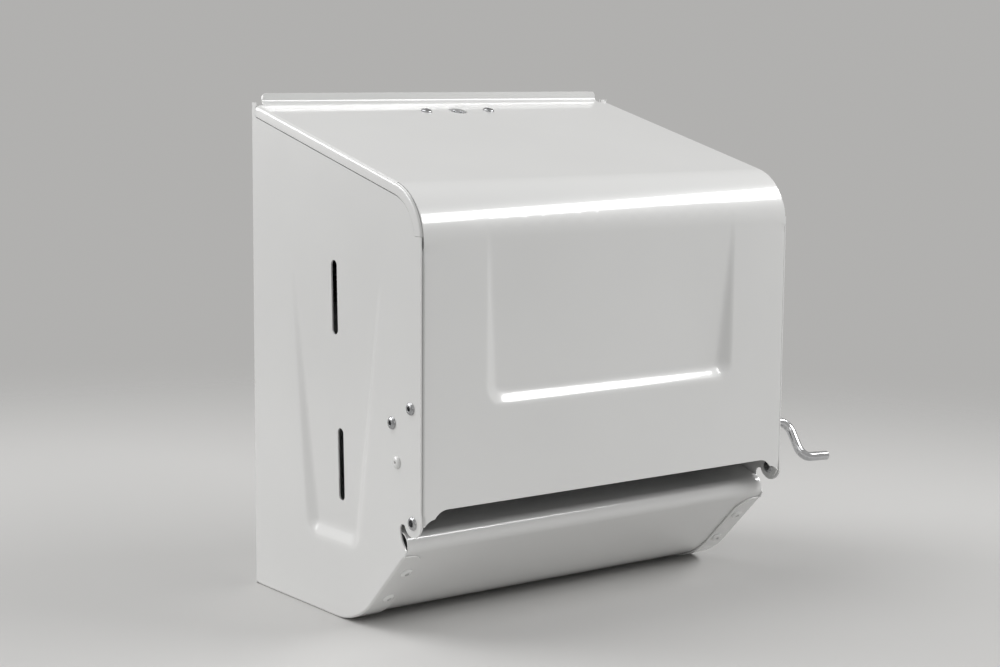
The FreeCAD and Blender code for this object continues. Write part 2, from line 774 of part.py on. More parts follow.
COVER_EDGE = "sizes.gauge + sizes.cover_side_gap"
cover_half = v.width / 2 - v.gauge - v.cover_side_gap
shoulder_end_y = shoulder_reach * math.cos(math.radians(v.top_slope))
rear_cut = v.depth - v.rear_strip - v.band_gap
lip_face_y = v.depth - v.gauge - v.lip_back_gap


def cover_skin():
    """Front, shoulder, sloping top and upturned rear lip."""
    path = [(0.0, v.cover_ear_low), (*shoulder_corner, v.shoulder_radius),
            (lip_face_y, top_line(lip_face_y), v.lip_bend), (lip_face_y, lip_top)]
    return extrude("cover_skin", SIDE_VIEW, [bent_sheet(path, v.gauge)], f"sizes.width - 2*({COVER_EDGE})",
                   {"x": f"-{HALF} + {COVER_EDGE}", **FRONT})


def top_flange():
    """Left edge of the top: the sheet reaches out over the side and turns down as a band."""
    front, rear = shoulder_end_y, rear_cut
    drop = v.gauge / math.cos(math.radians(v.top_slope))
    band = v.band / math.cos(math.radians(v.top_slope))
    ledge = extrude("cover_ledge", SIDE_VIEW,
                    [loop([(front, top_line(front)), (front, top_line(front) - drop),
                           (rear, top_line(rear) - drop), (rear, top_line(rear))])],
                    "2*sizes.gauge + 2*sizes.cover_side_gap", {"x": f"-{HALF}", **FRONT})
    skirt = extrude("cover_band", SIDE_VIEW,
                    [loop([(front, top_line(front)), (front, top_line(front) - band),
                           (rear, top_line(rear) - band), (rear, top_line(rear))])],
                    "sizes.gauge", {"x": f"-{HALF}", **FRONT})
    return [ledge, skirt]


def shoulder_tongue():
    """Flat tongue that carries the band on round the shoulder, beside the skin."""
    centre = (v.shoulder_radius, shoulder_start)
    outer, inner = v.shoulder_radius, v.shoulder_radius - v.band
    end = 90.0 + v.top_slope
    low_out = math.degrees(math.asin(v.tongue_low / outer))
    low_in = math.degrees(math.asin(v.tongue_low / inner))
    overlap = along((0.0, 0.0), v.top_slope, v.band_gap)
    ends = [along(centre, end, outer), along(centre, end, inner)]
    arcs = []
    for radius, low in ((outer, 180 - low_out), (inner, 180 - low_in)):
        arcs.append([Vector(*along(centre, end + (low - end) * part, radius), 0) for part in (0, 0.5, 1)])
    far = [Vector(p[0] + overlap[0], p[1] + overlap[1], 0) for p in ends]
    outline = [Part.Arc(*arcs[0]), Part.LineSegment(arcs[0][2], arcs[1][2]), Part.Arc(*reversed(arcs[1])),
               Part.LineSegment(arcs[1][0], far[1]), Part.LineSegment(far[1], far[0]),
               Part.LineSegment(far[0], arcs[0][0])]
    return extrude("cover_tongue", SIDE_VIEW, [outline], "sizes.gauge", {"x": f"-{HALF}", **FRONT})


def front_flange():
    """Inner flange of the front's left edge, with the ear that turns on the hinge pin."""
    place = {"x": f"-{HALF} + {COVER_EDGE}", **FRONT}
    strip = extrude("cover_flange", SIDE_VIEW,
                    [loop([(0.0, v.cover_ear_low), (v.cover_flange, v.cover_ear_low),
                           (v.cover_flange, tongue_end), (0.0, tongue_end - v.cover_flange)])],
                    "sizes.gauge", place)
    ear = rod("cover_ear", "sizes.cover_ear_radius", "sizes.gauge", TOWARDS_X,
              {"x": place["x"], "y": "-sizes.depth + sizes.hinge_y", "z": "sizes.hinge_z"})
    return [strip, ear]


def cover_low_edge():
    """Waste below the front's lower edge, which drops to each ear in two coves."""
    side = cover_half
    straight = side - v.scallop_width
    cusp = (side - v.scallop_cusp_x, v.scallop_cusp_z)
    foot = (side - v.cover_toe, v.cover_ear_low)
    below = v.cover_ear_low - v.band

    def cove(first, last, sag):
        middle = Vector((first[0] + last[0]) / 2, (first[1] + last[1]) / 2, 0)
        chord = Vector(last[0] - first[0], last[1] - first[1], 0)
        bulge = Vector(-chord.y, chord.x, 0).normalize() * sag
        return middle + bulge

    right = [(straight, v.cover_low), cusp, foot]
    left = [(-x, z) for x, z in right]
    curves = []
    for points, way in ((right, 1), (left, -1)):
        for first, last in zip(points, points[1:]):
            curves.append(Part.Arc(Vector(*first, 0), cove(first, last, way * v.scallop_sag),
                                   Vector(*last, 0)))
    outline = [Part.LineSegment(Vector(*left[0], 0), Vector(*right[0], 0)), *curves,
               Part.LineSegment(Vector(*right[2], 0), Vector(right[2][0], below, 0)),
               Part.LineSegment(Vector(right[2][0], below, 0), Vector(left[2][0], below, 0)),
               Part.LineSegment(Vector(left[2][0], below, 0), Vector(*left[2], 0))]
    return extrude("cover_low_edge", FRONT_VIEW, [outline], "4*sizes.gauge",
                   {"y": "-sizes.depth + 2*sizes.gauge"})


def lip_ends():
    """Waste beside the rear lip, whose upper corners are round."""
    half = v.width / 2
    inner = half - v.lip_inset
    low, high = top_line(rear_cut) - 2 * v.band, lip_top
    keep = loop([(-inner, low + 1), (inner, low + 1), (inner, high, v.lip_corner),
                 (-inner, high, v.lip_corner)])
    around = loop([(-half, low), (half, low), (half, high + 1), (-half, high + 1)])
    return extrude("lip_ends", FRONT_VIEW, [around, keep], f"sizes.rear_strip + sizes.band_gap")


def on_top(distance_below, x="0"):
    """Formulas of a point below the top at the lock, measured square to the top."""
    below = f"({distance_below})"
    return {"x": x, "y": f"-sizes.lock_back + {below}*sin(sizes.top_slope)",
            "z": f"sizes.rear_height - sizes.lock_back*tan(sizes.top_slope) - {below}*cos(sizes.top_slope)"}


top_normal = Vector(0, -math.sin(math.radians(v.top_slope)), math.cos(math.radians(v.top_slope)))
LOCK_RIVETS = ["-sizes.lock_rivet_span / 2", "sizes.lock_rivet_span / 2"]


def top_drill(name, radius, low, high, x="0"):
    """Round tool square to the top, from one distance below it to another."""
    return rod(name, radius, f"({low}) - ({high})", top_normal, on_top(low, x))


def front_cover():
    """The finished cover."""
    left = top_flange() + [shoulder_tongue()] + front_flange()
    right = [mirrored(f"{item.Name}_right", item) for item in left]
    blank = fuse("cover_blank", [cover_skin(), front_recess("front_bump", "sizes.gauge")] + left + right)
    pin_hole = side_drill("cover_pin_hole", "sizes.hinge_pin_radius + sizes.running_gap", "sizes.hinge_y",
                          "sizes.hinge_z", f"-{HALF}", "sizes.width")
    lock_hole = top_drill("lock_hole", "sizes.lock_radius + sizes.lock_hole_gap", "3*sizes.gauge",
                          "-sizes.gauge")
    tools = [front_recess("front_void", "0"), cover_low_edge(), lip_ends(), pin_hole, lock_hole]
    tools += [top_drill(f"lock_rivet_hole{i}", HOLE, "3*sizes.gauge", "-sizes.gauge", x)
              for i, x in enumerate(LOCK_RIVETS)]
    return node("front_cover", cut("cover", blank, tools))


front_cover()


# Turned pieces, groups and rivets

def group(name, items):
    """Several loose solids kept together."""
    cluster = doc.addObject("Part::Compound", name)
    cluster.Links = items
    return cluster


def turned(name, outline, axis, place):
    """Solid turned about the first axis of its drawing, then aimed along an axis."""
    solid = doc.addObject("Part::Revolution", name)
    solid.Source = sketch(name, TOP_VIEW, [outline])
    solid.Axis = Vector(1, 0, 0)
    solid.Base = Vector(0, 0, 0)
    solid.Angle = 360.0
    solid.Solid = True
    solid.Placement = Placement(Vector(), Rotation(Vector(1, 0, 0), axis))
    for letter, formula in place.items():
        solid.setExpression(f"Placement.Base.{letter}", formula)
    return solid


def tube_section(low, high, bore, radius, edge=0.3):
    """Half section of a plain ring with broken outer edges."""
    return [(low, bore), (low, radius - edge), (low + edge, radius), (high - edge, radius),
            (high, radius - edge), (high, bore)]


def rivet_outline(shank, head, height, grip, tail=0.0, tail_height=0.0, eye=0.0, eye_depth=0.0):
    """Half section of a rivet: the head's seat at nought, its dome outward, its shank inward."""
    seat = v.seat_gap
    top = seat + height
    crown = eye if eye > 0 else head / 4
    dome = Part.Arc(Vector(seat, head, 0), Vector(seat + 0.72 * height, 0.72 * head, 0),
                    Vector(top, crown, 0))
    corners = [(top, crown)]
    if eye > 0:
        corners += [(top - eye_depth, eye), (top - eye_depth, 0.0)]
    else:
        corners.append((top, 0.0))
    if tail > 0:
        end = -grip - seat
        corners += [(end - tail_height, 0.0), (end - tail_height, 0.6 * tail), (end, tail), (end, shank)]
    else:
        corners += [(-grip, 0.0), (-grip, shank)]
    corners += [(seat, shank), (seat, head)]
    points = [Vector(*corner, 0) for corner in corners]
    return [dome] + [Part.LineSegment(a, b) for a, b in zip(points, points[1:])]


def riveted_pairs(label, outline, places):
    """Rivets through the left side, with their twins through the right side."""
    left = [turned(f"{label}_{i}", outline, Vector(-1, 0, 0), place) for i, place in enumerate(places)]
    return left + [mirrored(f"{item.Name}_right", item) for item in left]


def side_places(rows):
    """Places on the outside of the left side."""
    return [{"x": f"-{HALF}", "y": f"-sizes.depth + {y}", "z": z} for y, z in rows]


panel_grip = v.gauge + v.bracket_gap + v.bracket_gauge
hollow = rivet_outline(v.rivet_radius, v.rivet_head, v.rivet_head_height, panel_grip, v.rivet_tail,
                       v.rivet_tail_height, v.rivet_eye, v.rivet_head_height)
node("bracket_rivets", group("bracket_rivet_group", riveted_pairs("bracket_rivet", hollow,
                                                                    side_places(BRACKET_RIVETS))))
node("bracket_pop_rivets", group("pop_rivet_group", riveted_pairs("pop_rivet", hollow,
                                                                    side_places(POP_RIVETS))))

hinge = rivet_outline(v.hinge_pin_radius, v.hinge_head, v.hinge_head_height,
                      2 * v.gauge + v.cover_side_gap, v.hinge_head, v.rivet_tail_height,
                      v.hinge_eye, v.hinge_eye_depth)
hinge_places = side_places([("sizes.hinge_y", "sizes.hinge_z")])
node("hinge_pins", group("hinge_pin_group", riveted_pairs("hinge_pin", hinge, hinge_places)))


def tray_rivets():
    """Painted rivets of the tray, through the slanted lower flanges."""
    outline = rivet_outline(v.rivet_radius, v.rivet_head, v.rivet_head_height,
                            2 * v.gauge + v.tray_gap, v.rivet_tail, v.rivet_tail_height,
                            v.rivet_eye, v.rivet_head_height)
    places = [{"x": f"-{HALF} + sizes.tray_rivet_inset", **slant_point(at)} for at in TRAY_RIVETS]
    left = [turned(f"tray_rivet_{i}", outline, slant_normal, place) for i, place in enumerate(places)]
    return node("tray_rivets", group("tray_rivet_group",
                                     left + [mirrored(f"{item.Name}_right", item) for item in left]))


tray_rivets()


# Shafts of the drive, seen from the side

LEVER = (v.lever_y, v.lever_z)
shaft_distance = v.gear_module * (v.sector_teeth + v.pinion_teeth) / 2
FEED = along(LEVER, v.mesh_angle, shaft_distance)
PRESSURE = along(FEED, -v.pressure_angle, v.feed_radius + v.pressure_radius + v.nip_gap)
bearing_outer = v.bearing_half + v.bracket_gauge


def at_axis(point, x="0"):
    """Formulas of a point on a shaft's centre line."""
    return {"x": x, "y": f"-sizes.depth + {point[0]}", "z": f"{point[1]}"}


# Bearing brackets: a pad on the side, a web over the gears and a plate with the bearings

def leaf_corner():
    """Foot's front end, bend under the web, bend at the bush and free end of a leaf spring."""
    way = (math.cos(math.radians(-v.pressure_angle)), math.sin(math.radians(-v.pressure_angle)))
    stand = v.pressure_shaft_radius + v.bush_wall + v.leaf_gap + v.leaf_gauge
    touch = (PRESSURE[0] + stand * way[0], PRESSURE[1] + stand * way[1])
    rear = PRESSURE[0] + v.leaf_rear
    up = (rear - touch[0]) / -way[1]
    foot_z = v.bracket_high - v.bracket_gauge - v.bracket_gap
    free_end = (touch[0] + v.leaf_tail * way[1], touch[1] - v.leaf_tail * way[0])
    return [(rear - v.leaf_foot, foot_z), (rear, foot_z, v.leaf_knee),
            (rear, touch[1] + up * way[0], v.leaf_elbow), free_end]


LEAF = leaf_corner()
LEAF_RIVET = {"x": "-(sizes.bearing_half + sizes.bracket_gauge + sizes.leaf_side + sizes.leaf_width / 2)",
              "y": f"-sizes.depth + {LEAF[0][0] + v.leaf_foot / 2 - v.leaf_rivet_ahead}"}


def bearing_bracket():
    """Left bracket, without the lever's holes."""
    outer = -v.width / 2 + v.gauge + v.bracket_gap
    path = [(outer, v.bracket_low), (outer, v.bracket_high, v.bracket_bend),
            (-v.bearing_half, v.bracket_high, v.bracket_bend), (-v.bearing_half, v.bracket_low)]
    blank = extrude("bracket_sheet", FRONT_VIEW, [bent_sheet(path, v.bracket_gauge)],
                    "sizes.bracket_rear - sizes.bracket_front", {"y": "-sizes.depth + sizes.bracket_rear"})
    spare_edge = outer + v.bracket_bend + v.bracket_relief
    spare = extrude("bracket_spare", FRONT_VIEW,
                    [loop([(outer - 1, v.bracket_low - 1), (spare_edge, v.bracket_low - 1),
                           (spare_edge, v.bracket_high + 1), (outer - 1, v.bracket_high + 1)])],
                    "sizes.bracket_rear - sizes.bracket_pad_rear + 1",
                    {"y": "-sizes.depth + sizes.bracket_rear + 1"})
    pad = [side_drill(f"bracket_rivet_hole{i}", HOLE, *at)
           for i, at in enumerate(BRACKET_RIVETS + POP_RIVETS)]
    start = "-(sizes.bearing_half + 2*sizes.bracket_gauge)"
    reach = "3*sizes.bracket_gauge"
    bearings = [rod("feed_bush_hole", "sizes.feed_shaft_radius + sizes.bush_wall + sizes.seat_gap", reach,
                    TOWARDS_X, at_axis(FEED, start)),
                rod("pressure_bush_hole", "sizes.pressure_shaft_radius + sizes.bush_wall + sizes.seat_gap",
                    reach, TOWARDS_X, at_axis(PRESSURE, start)),
                rod("tear_rivet_hole", "sizes.small_rivet_radius + sizes.rivet_hole_gap", reach, TOWARDS_X,
                    at_axis((v.tear_rivet_y, v.tear_rivet_z), start)),
                rod("leaf_rivet_hole", "sizes.small_rivet_radius + sizes.rivet_hole_gap", reach,
                    Vector(0, 0, 1), {**LEAF_RIVET, "z": "sizes.bracket_high - 2*sizes.bracket_gauge"})]
    return cut("bracket", blank, [spare] + pad + bearings)


def brackets():
    """Both brackets; the right one also carries the lever."""
    left = node("bearing_bracket_left", bearing_bracket())
    twin = mirrored("bracket_twin", left)
    holes = [rod("lever_bearing_hole", "sizes.rod_radius + sizes.running_gap", "3*sizes.bracket_gauge",
                 TOWARDS_X, at_axis(LEVER, "sizes.bearing_half - sizes.bracket_gauge")),
             rod("lever_bush_hole", "sizes.rod_radius + sizes.bush_wall + sizes.seat_gap",
                 "3*sizes.bracket_gauge", TOWARDS_X, at_axis(LEVER, f"{HALF} - 2*sizes.bracket_gauge"))]
    node("bearing_bracket_right", cut("right_bracket", twin, holes))


brackets()


# Feed and pressure rollers

def bearing_bushes(label, centre, shaft_radius, boss):
    """Flanged bushes in both bearing plates."""
    bore = shaft_radius + v.running_gap
    body = shaft_radius + v.bush_wall
    inner = v.bearing_half - v.seat_gap
    section = [(-inner + v.bush_collar, bore), (-inner + v.bush_collar, body + v.bush_rim),
               (-inner, body + v.bush_rim), (-inner, body), (-bearing_outer - boss, body),
               (-bearing_outer - boss, bore)]
    left = turned(f"{label}_left", loop(section), TOWARDS_X, at_axis(centre))
    return node(label, group(f"{label}_group", [left, mirrored(f"{label}_right", left)]))


def shaft(label, centre, radius, low, high):
    """Plain shaft with chamfered ends."""
    edge = v.shaft_chamfer
    section = [(low, 0), (low, radius - edge), (low + edge, radius), (high - edge, radius),
               (high, radius - edge), (high, 0)]
    return node(label, lathe(label, section, TOWARDS_X, at_axis(centre)))


core_half = v.bearing_half - v.bush_collar - v.roller_end_gap
sector_end = v.sector_start + v.sector_plate
pinion_start = v.sector_start - v.pinion_overhang
pinion_end = sector_end + v.pinion_overhang
clutch_start = pinion_end + v.roller_end_gap
clutch_end = clutch_start + v.clutch_length

bearing_bushes("feed_bushes", FEED, v.feed_shaft_radius, v.bush_boss)
bearing_bushes("pressure_bushes", PRESSURE, v.pressure_shaft_radius, v.pressure_boss)
shaft("feed_shaft", FEED, v.feed_shaft_radius, -bearing_outer - v.feed_shaft_end,
      clutch_end + v.roller_end_gap)
pressure_end = bearing_outer + v.pressure_boss + v.pressure_shaft_end
shaft("pressure_shaft", PRESSURE, v.pressure_shaft_radius, -pressure_end, pressure_end)


def feed_roller():
    """Hollow core on the shaft, with three rubber sleeves that grip the paper."""
    bore = v.feed_shaft_radius + v.seat_gap
    inside = v.feed_core_radius - v.feed_core_wall
    plug = core_half - v.feed_core_end
    section = [(-core_half, bore), (-core_half, v.feed_core_radius), (core_half, v.feed_core_radius),
               (core_half, bore), (plug, bore), (plug, inside), (-plug, inside), (-plug, bore)]
    place = at_axis(FEED)
    node("feed_roller_core", lathe("feed_roller_core", section, TOWARDS_X, place))
    sleeves = []
    for step in (-1, 0, 1):
        middle = step * v.sleeve_pitch
        ring = tube_section(middle - v.sleeve_length / 2, middle + v.sleeve_length / 2,
                            v.feed_core_radius + v.seat_gap, v.feed_radius, 0.6)
        sleeves.append(turned(f"sleeve_{step}", loop(ring), TOWARDS_X, place))
    node("feed_roller_sleeves", group("sleeve_group", sleeves))


feed_roller()


def pressure_roller():
    """Plain roller that presses the paper against the sleeves."""
    bore = v.pressure_shaft_radius + v.seat_gap
    section = tube_section(-core_half, core_half, bore, v.pressure_radius, 0.6)
    node("pressure_roller", lathe("pressure_roller", section, TOWARDS_X, at_axis(PRESSURE)))


pressure_roller()


def pressure_springs():
    """Leaf springs that hang under the webs and push the pressure roller's bushes forward."""
    outer = v.bearing_half + v.bracket_gauge + v.leaf_side + v.leaf_width
    strip = extrude("leaf", SIDE_VIEW, [bent_sheet(LEAF, v.leaf_gauge)], "sizes.leaf_width",
                    {"x": f"-{outer}", **FRONT})
    hole = rod("leaf_hole", "sizes.small_rivet_radius + sizes.rivet_hole_gap", f"{THROUGH}",
               Vector(0, 0, 1), {**LEAF_RIVET, "z": f"sizes.bracket_high - {THROUGH} / 2"})
    left = cut("leaf", strip, [hole])
    node("pressure_springs", group("leaf_group", [left, mirrored("leaf_right", left)]))
    grip = v.bracket_gauge + v.bracket_gap + v.leaf_gauge
    outline = rivet_outline(v.small_rivet_radius, v.small_rivet_head, v.small_rivet_height, grip,
                            0.7 * v.small_rivet_head, v.small_rivet_height)
    rivet = turned("leaf_rivet", outline, Vector(0, 0, 1), {**LEAF_RIVET, "z": "sizes.bracket_high"})
    node("spring_rivets", group("spring_rivet_group", [rivet, mirrored("leaf_rivet_right", rivet)]))


pressure_springs()


# Gears: a toothed sector on the lever drives the pinion of the feed roller

def involute(angle):
    """Angle of an involute's point, both in radians."""
    return math.tan(angle) - angle


def gear_edges(centre, teeth, tooth_angles):
    """Flanks, tips and roots of a run of teeth, against the clock, from first to last root."""
    pitch = v.gear_module * teeth / 2
    flank = math.radians(v.pressure_flank)
    base, tip, root = pitch * math.cos(flank), pitch + v.tooth_tip, pitch - v.tooth_root
    half = math.pi / (2 * teeth) - v.gear_backlash / (4 * pitch) + involute(flank)
    low = max(base * 1.0005, root)
    radii = [low, (low + tip) / 2, tip]
    lean = [math.degrees(half - involute(math.acos(base / radius))) for radius in radii]

    def spot(angle, radius):
        return Vector(*along(centre, angle, radius), 0)

    edges = []
    for number, middle in enumerate(tooth_angles):
        rising = [spot(middle - lean[i], radii[i]) for i in range(3)]
        falling = [spot(middle + lean[i], radii[i]) for i in (2, 1, 0)]
        if low > root + 1e-6:
            edges.append(Part.LineSegment(spot(middle - lean[0], root), rising[0]))
        edges += [Part.Arc(*rising), Part.Arc(rising[2], spot(middle, tip), falling[0]), Part.Arc(*falling)]
        if low > root + 1e-6:
            edges.append(Part.LineSegment(falling[2], spot(middle + lean[0], root)))
        if number + 1 < len(tooth_angles):
            following = tooth_angles[number + 1]
            start, stop = middle + lean[0], following - lean[0]
            edges.append(Part.Arc(spot(start, root), spot((start + stop) / 2, root), spot(stop, root)))
    first = spot(tooth_angles[0] - lean[0], root)
    last = spot(tooth_angles[-1] + lean[0], root)
    return edges, first, last


def sector_gear():
    """Toothed sector on the lever's rod; its hub lies against the bearing plate."""
    step = 360 / v.sector_teeth
    count = int(v.sector_run)
    angles = [v.mesh_angle - step * (count - 2) + step * i for i in range(count)]
    edges, first, last = gear_edges(LEVER, v.sector_teeth, angles)
    middle = Vector(*LEVER, 0)
    outline = edges + [Part.LineSegment(last, middle), Part.LineSegment(middle, first)]
    blade = extrude("sector_blade", SIDE_VIEW, [outline], "sizes.sector_plate",
                    {"x": "sizes.sector_start", **FRONT})
    hub = rod("sector_boss", "sizes.sector_hub",
              "sizes.sector_start + sizes.sector_plate - sizes.bearing_half - sizes.bracket_gauge"
              " - sizes.sector_hub_side", TOWARDS_X,
              at_axis(LEVER, "sizes.bearing_half + sizes.bracket_gauge + sizes.sector_hub_side"))
    bore = rod("sector_bore", "sizes.rod_radius + sizes.seat_gap", "2*sizes.sector_hub", TOWARDS_X,
               at_axis(LEVER, "sizes.bearing_half"))
    return node("sector_gear", cut("sector", fuse("sector_blank", [blade, hub]), [bore]))


sector_gear()


def drive_pinion():
    """Pinion with a cup at its side that holds the one-way clutch."""
    step = 360 / v.pinion_teeth
    start = v.mesh_angle + 180 + step / 2
    angles = [start + step * i for i in range(int(v.pinion_teeth))]
    edges, first, last = gear_edges(FEED, v.pinion_teeth, angles)
    gap_middle = Vector(*along(FEED, start - step / 2, v.gear_module * v.pinion_teeth / 2 - v.tooth_root), 0)
    outline = edges + [Part.Arc(last, gap_middle, first)]
    teeth = extrude("pinion_teeth", SIDE_VIEW, [outline], f"{pinion_end - pinion_start}",
                    {"x": f"{pinion_start}", **FRONT})
    cup = rod("pinion_cup", "sizes.clutch_radius + sizes.clutch_wall", f"{clutch_end - pinion_end}",
              TOWARDS_X, at_axis(FEED, f"{pinion_end}"))
    bore = rod("pinion_bore", "sizes.feed_shaft_radius + sizes.seat_gap", f"4*{THROUGH}", TOWARDS_X,
               at_axis(FEED, f"{pinion_start - 1}"))
    seat = rod("clutch_seat", "sizes.clutch_radius + sizes.seat_gap", f"{v.clutch_length + 1}", TOWARDS_X,
               at_axis(FEED, f"{clutch_start}"))
    node("drive_pinion", cut("pinion", fuse("pinion_blank", [teeth, cup]), [bore, seat]))
    ring = tube_section(clutch_start + v.seat_gap, clutch_end, v.feed_shaft_radius + v.seat_gap,
                        v.clutch_radius)
    node("one_way_clutch", lathe("one_way_clutch", ring, TOWARDS_X, at_axis(FEED)))


drive_pinion()


# Lever: one bent rod, its bush, retaining clips and return spring

clip_starts = [v.bearing_half - v.clip_gap - v.clip_width, sector_end + v.clip_gap]


def lever_rod():
    """Round rod: straight through the side, then down and forward, then out as the handle."""
    lean, droop = math.radians(v.lever_lean), math.radians(v.lever_droop)
    axis_y, axis_z = LEVER[0] - v.depth, LEVER[1]
    start = Vector(clip_starts[0] - v.rod_inner_end, axis_y, axis_z)
    elbow = Vector(v.width / 2 + v.lever_stand_off, axis_y, axis_z)
    foot = elbow + Vector(0, -math.sin(lean), -math.cos(lean)) * v.lever_arm
    tip = foot + Vector(math.cos(droop), 0, -math.sin(droop)) * v.lever_handle
    edges, last = [], start
    for before, corner, after in ((start, elbow, foot), (elbow, foot, tip)):
        first, middle, second = tangent_corner(before, corner, after, v.lever_bend)
        edges += [Part.LineSegment(last, first).toShape(), Part.Arc(first, middle, second).toShape()]
        last = second
    edges.append(Part.LineSegment(last, tip).toShape())
    section = Part.Wire([Part.Circle(start, Vector(1, 0, 0), v.rod_radius).toShape()])
    bar = Part.Wire(edges).makePipeShell([section], True, False)
    ends = [edge for edge in bar.Edges if (edge.BoundBox.Center - tip).Length < 0.1]
    bar = bar.makeFillet(v.lever_tip_round, ends)
    for low in clip_starts:
        groove = Part.makeCylinder(v.rod_radius + 1, v.clip_width + 2 * v.seat_gap,
                                   Vector(low - v.seat_gap, axis_y, axis_z), Vector(1, 0, 0))
        groove = groove.cut(Part.makeCylinder(v.rod_radius - v.groove_depth, v.clip_width + 2,
                                              Vector(low - 1, axis_y, axis_z), Vector(1, 0, 0)))
        bar = bar.cut(groove)
    return feature("lever_rod", bar)


lever_rod()


def lever_clips():
    """Open rings in the rod's two grooves."""
    clips = []
    neck = v.rod_radius - v.groove_depth
    left, right = LEVER[0] - v.clip_mouth / 2, LEVER[0] + v.clip_mouth / 2
    below = LEVER[1] - 2 * v.sector_hub
    for number, low in enumerate(clip_starts):
        ring = turned(f"clip_ring{number}", loop([(low, neck + v.seat_gap), (low, v.rod_radius + v.clip_rim),
                                                  (low + v.clip_width, v.rod_radius + v.clip_rim),
                                                  (low + v.clip_width, neck + v.seat_gap)]),
                      TOWARDS_X, at_axis(LEVER))
        mouth = extrude(f"clip_mouth{number}", SIDE_VIEW,
                        [loop([(left, LEVER[1]), (left, below), (right, below), (right, LEVER[1])])],
                        "3*sizes.clip_width", {"x": f"{low} - sizes.clip_width", **FRONT})
        clips.append(cut(f"clip{number}", ring, [mouth]))
    return node("lever_clips", group("clip_group", clips))


lever_clips()


def lever_bush():
    """Flanged bush in the right side and pad; its boss also centres the return spring."""
    bore = v.rod_radius + v.running_gap
    body = v.rod_radius + v.bush_wall
    face = v.width / 2 + v.seat_gap
    inner = v.width / 2 - v.gauge - v.bracket_gap - v.bracket_gauge - v.lever_boss
    section = [(inner, bore), (inner, body), (face, body), (face, body + v.bush_rim),
               (face + v.bush_collar, body + v.bush_rim - 0.6), (face + v.bush_collar, bore)]
    return node("lever_bush", lathe("lever_bush", section, TOWARDS_X, at_axis(LEVER)))


lever_bush()


def return_spring():
    """Space of the hidden torsion spring, round the rod between pad and sector."""
    high = v.width / 2 - v.gauge - v.bracket_gap - v.bracket_gauge - v.leaf_gap
    low = high - v.spring_length
    inner, outer = v.spring_radius - v.spring_wire / 2, v.spring_radius + v.spring_wire / 2
    ring = [(low, inner), (low, outer), (high, outer), (high, inner)]
    return node("return_spring", lathe("return_spring", ring, TOWARDS_X, at_axis(LEVER)))


return_spring()


# Tear bar behind the cover's lower edge

def tear_bar():
    """Angle bar with a serrated lower edge and a tab at each end."""
    end = v.bearing_half - v.bracket_gap
    gum = v.tear_low + v.tear_tooth_height
    teeth = int(v.tear_tooth_reach / v.tear_tooth)
    reach = teeth * v.tear_tooth
    corners = [(-end, v.tear_high), (-end, gum), (-reach, gum)]
    for i in range(2 * teeth):
        left = -reach + i * v.tear_tooth
        corners += [(left + v.tear_tooth / 2, v.tear_low), (left + v.tear_tooth, gum)]
    corners += [(end, gum), (end, v.tear_high)]
    blade = extrude("tear_blade", FRONT_VIEW, [loop(corners)], "sizes.tear_gauge",
                    {"y": "-sizes.depth + sizes.tear_y + sizes.tear_gauge"})
    front, rear = v.tear_y, v.tear_y + v.tear_shelf
    under = v.tear_high - v.tear_gauge
    shelf = extrude("tear_shelf", SIDE_VIEW,
                    [loop([(front, under), (rear, under), (rear, v.tear_high), (front, v.tear_high)])],
                    f"{2 * end}", {"x": f"-{end}", **FRONT})
    low = v.tear_low + 2 * v.tear_tooth_height
    tab = extrude("tear_tab", SIDE_VIEW,
                  [loop([(front, low), (rear, low), (rear, v.tear_high), (front, v.tear_high)])],
                  "sizes.tear_gauge", {"x": f"-{end}", **FRONT})
    blank = fuse("tear_blank", [blade, shelf, tab, mirrored("tear_tab_right", tab)])
    hole = rod("tear_hole", "sizes.small_rivet_radius + sizes.rivet_hole_gap", "2*sizes.width", TOWARDS_X,
               at_axis((v.tear_rivet_y, v.tear_rivet_z), "-sizes.width"))
    node("tear_bar", cut("tear", blank, [hole]))
    grip = v.bracket_gauge + v.bracket_gap + v.tear_gauge
    outline = rivet_outline(v.small_rivet_radius, v.small_rivet_head, v.small_rivet_height, grip,
                            0.8 * v.small_rivet_head, v.small_rivet_height)
    rivet = turned("tear_rivet", outline, Vector(-1, 0, 0),
                   at_axis((v.tear_rivet_y, v.tear_rivet_z), "-(sizes.bearing_half + sizes.bracket_gauge)"))
    node("tear_bar_rivets", group("tear_rivet_group", [rivet, mirrored("tear_rivet_right", rivet)]))


tear_bar()


# Roll holder: two spring steel arms with a hub each that plugs into the roll's core

ROLL = (v.roll_y, v.roll_z)


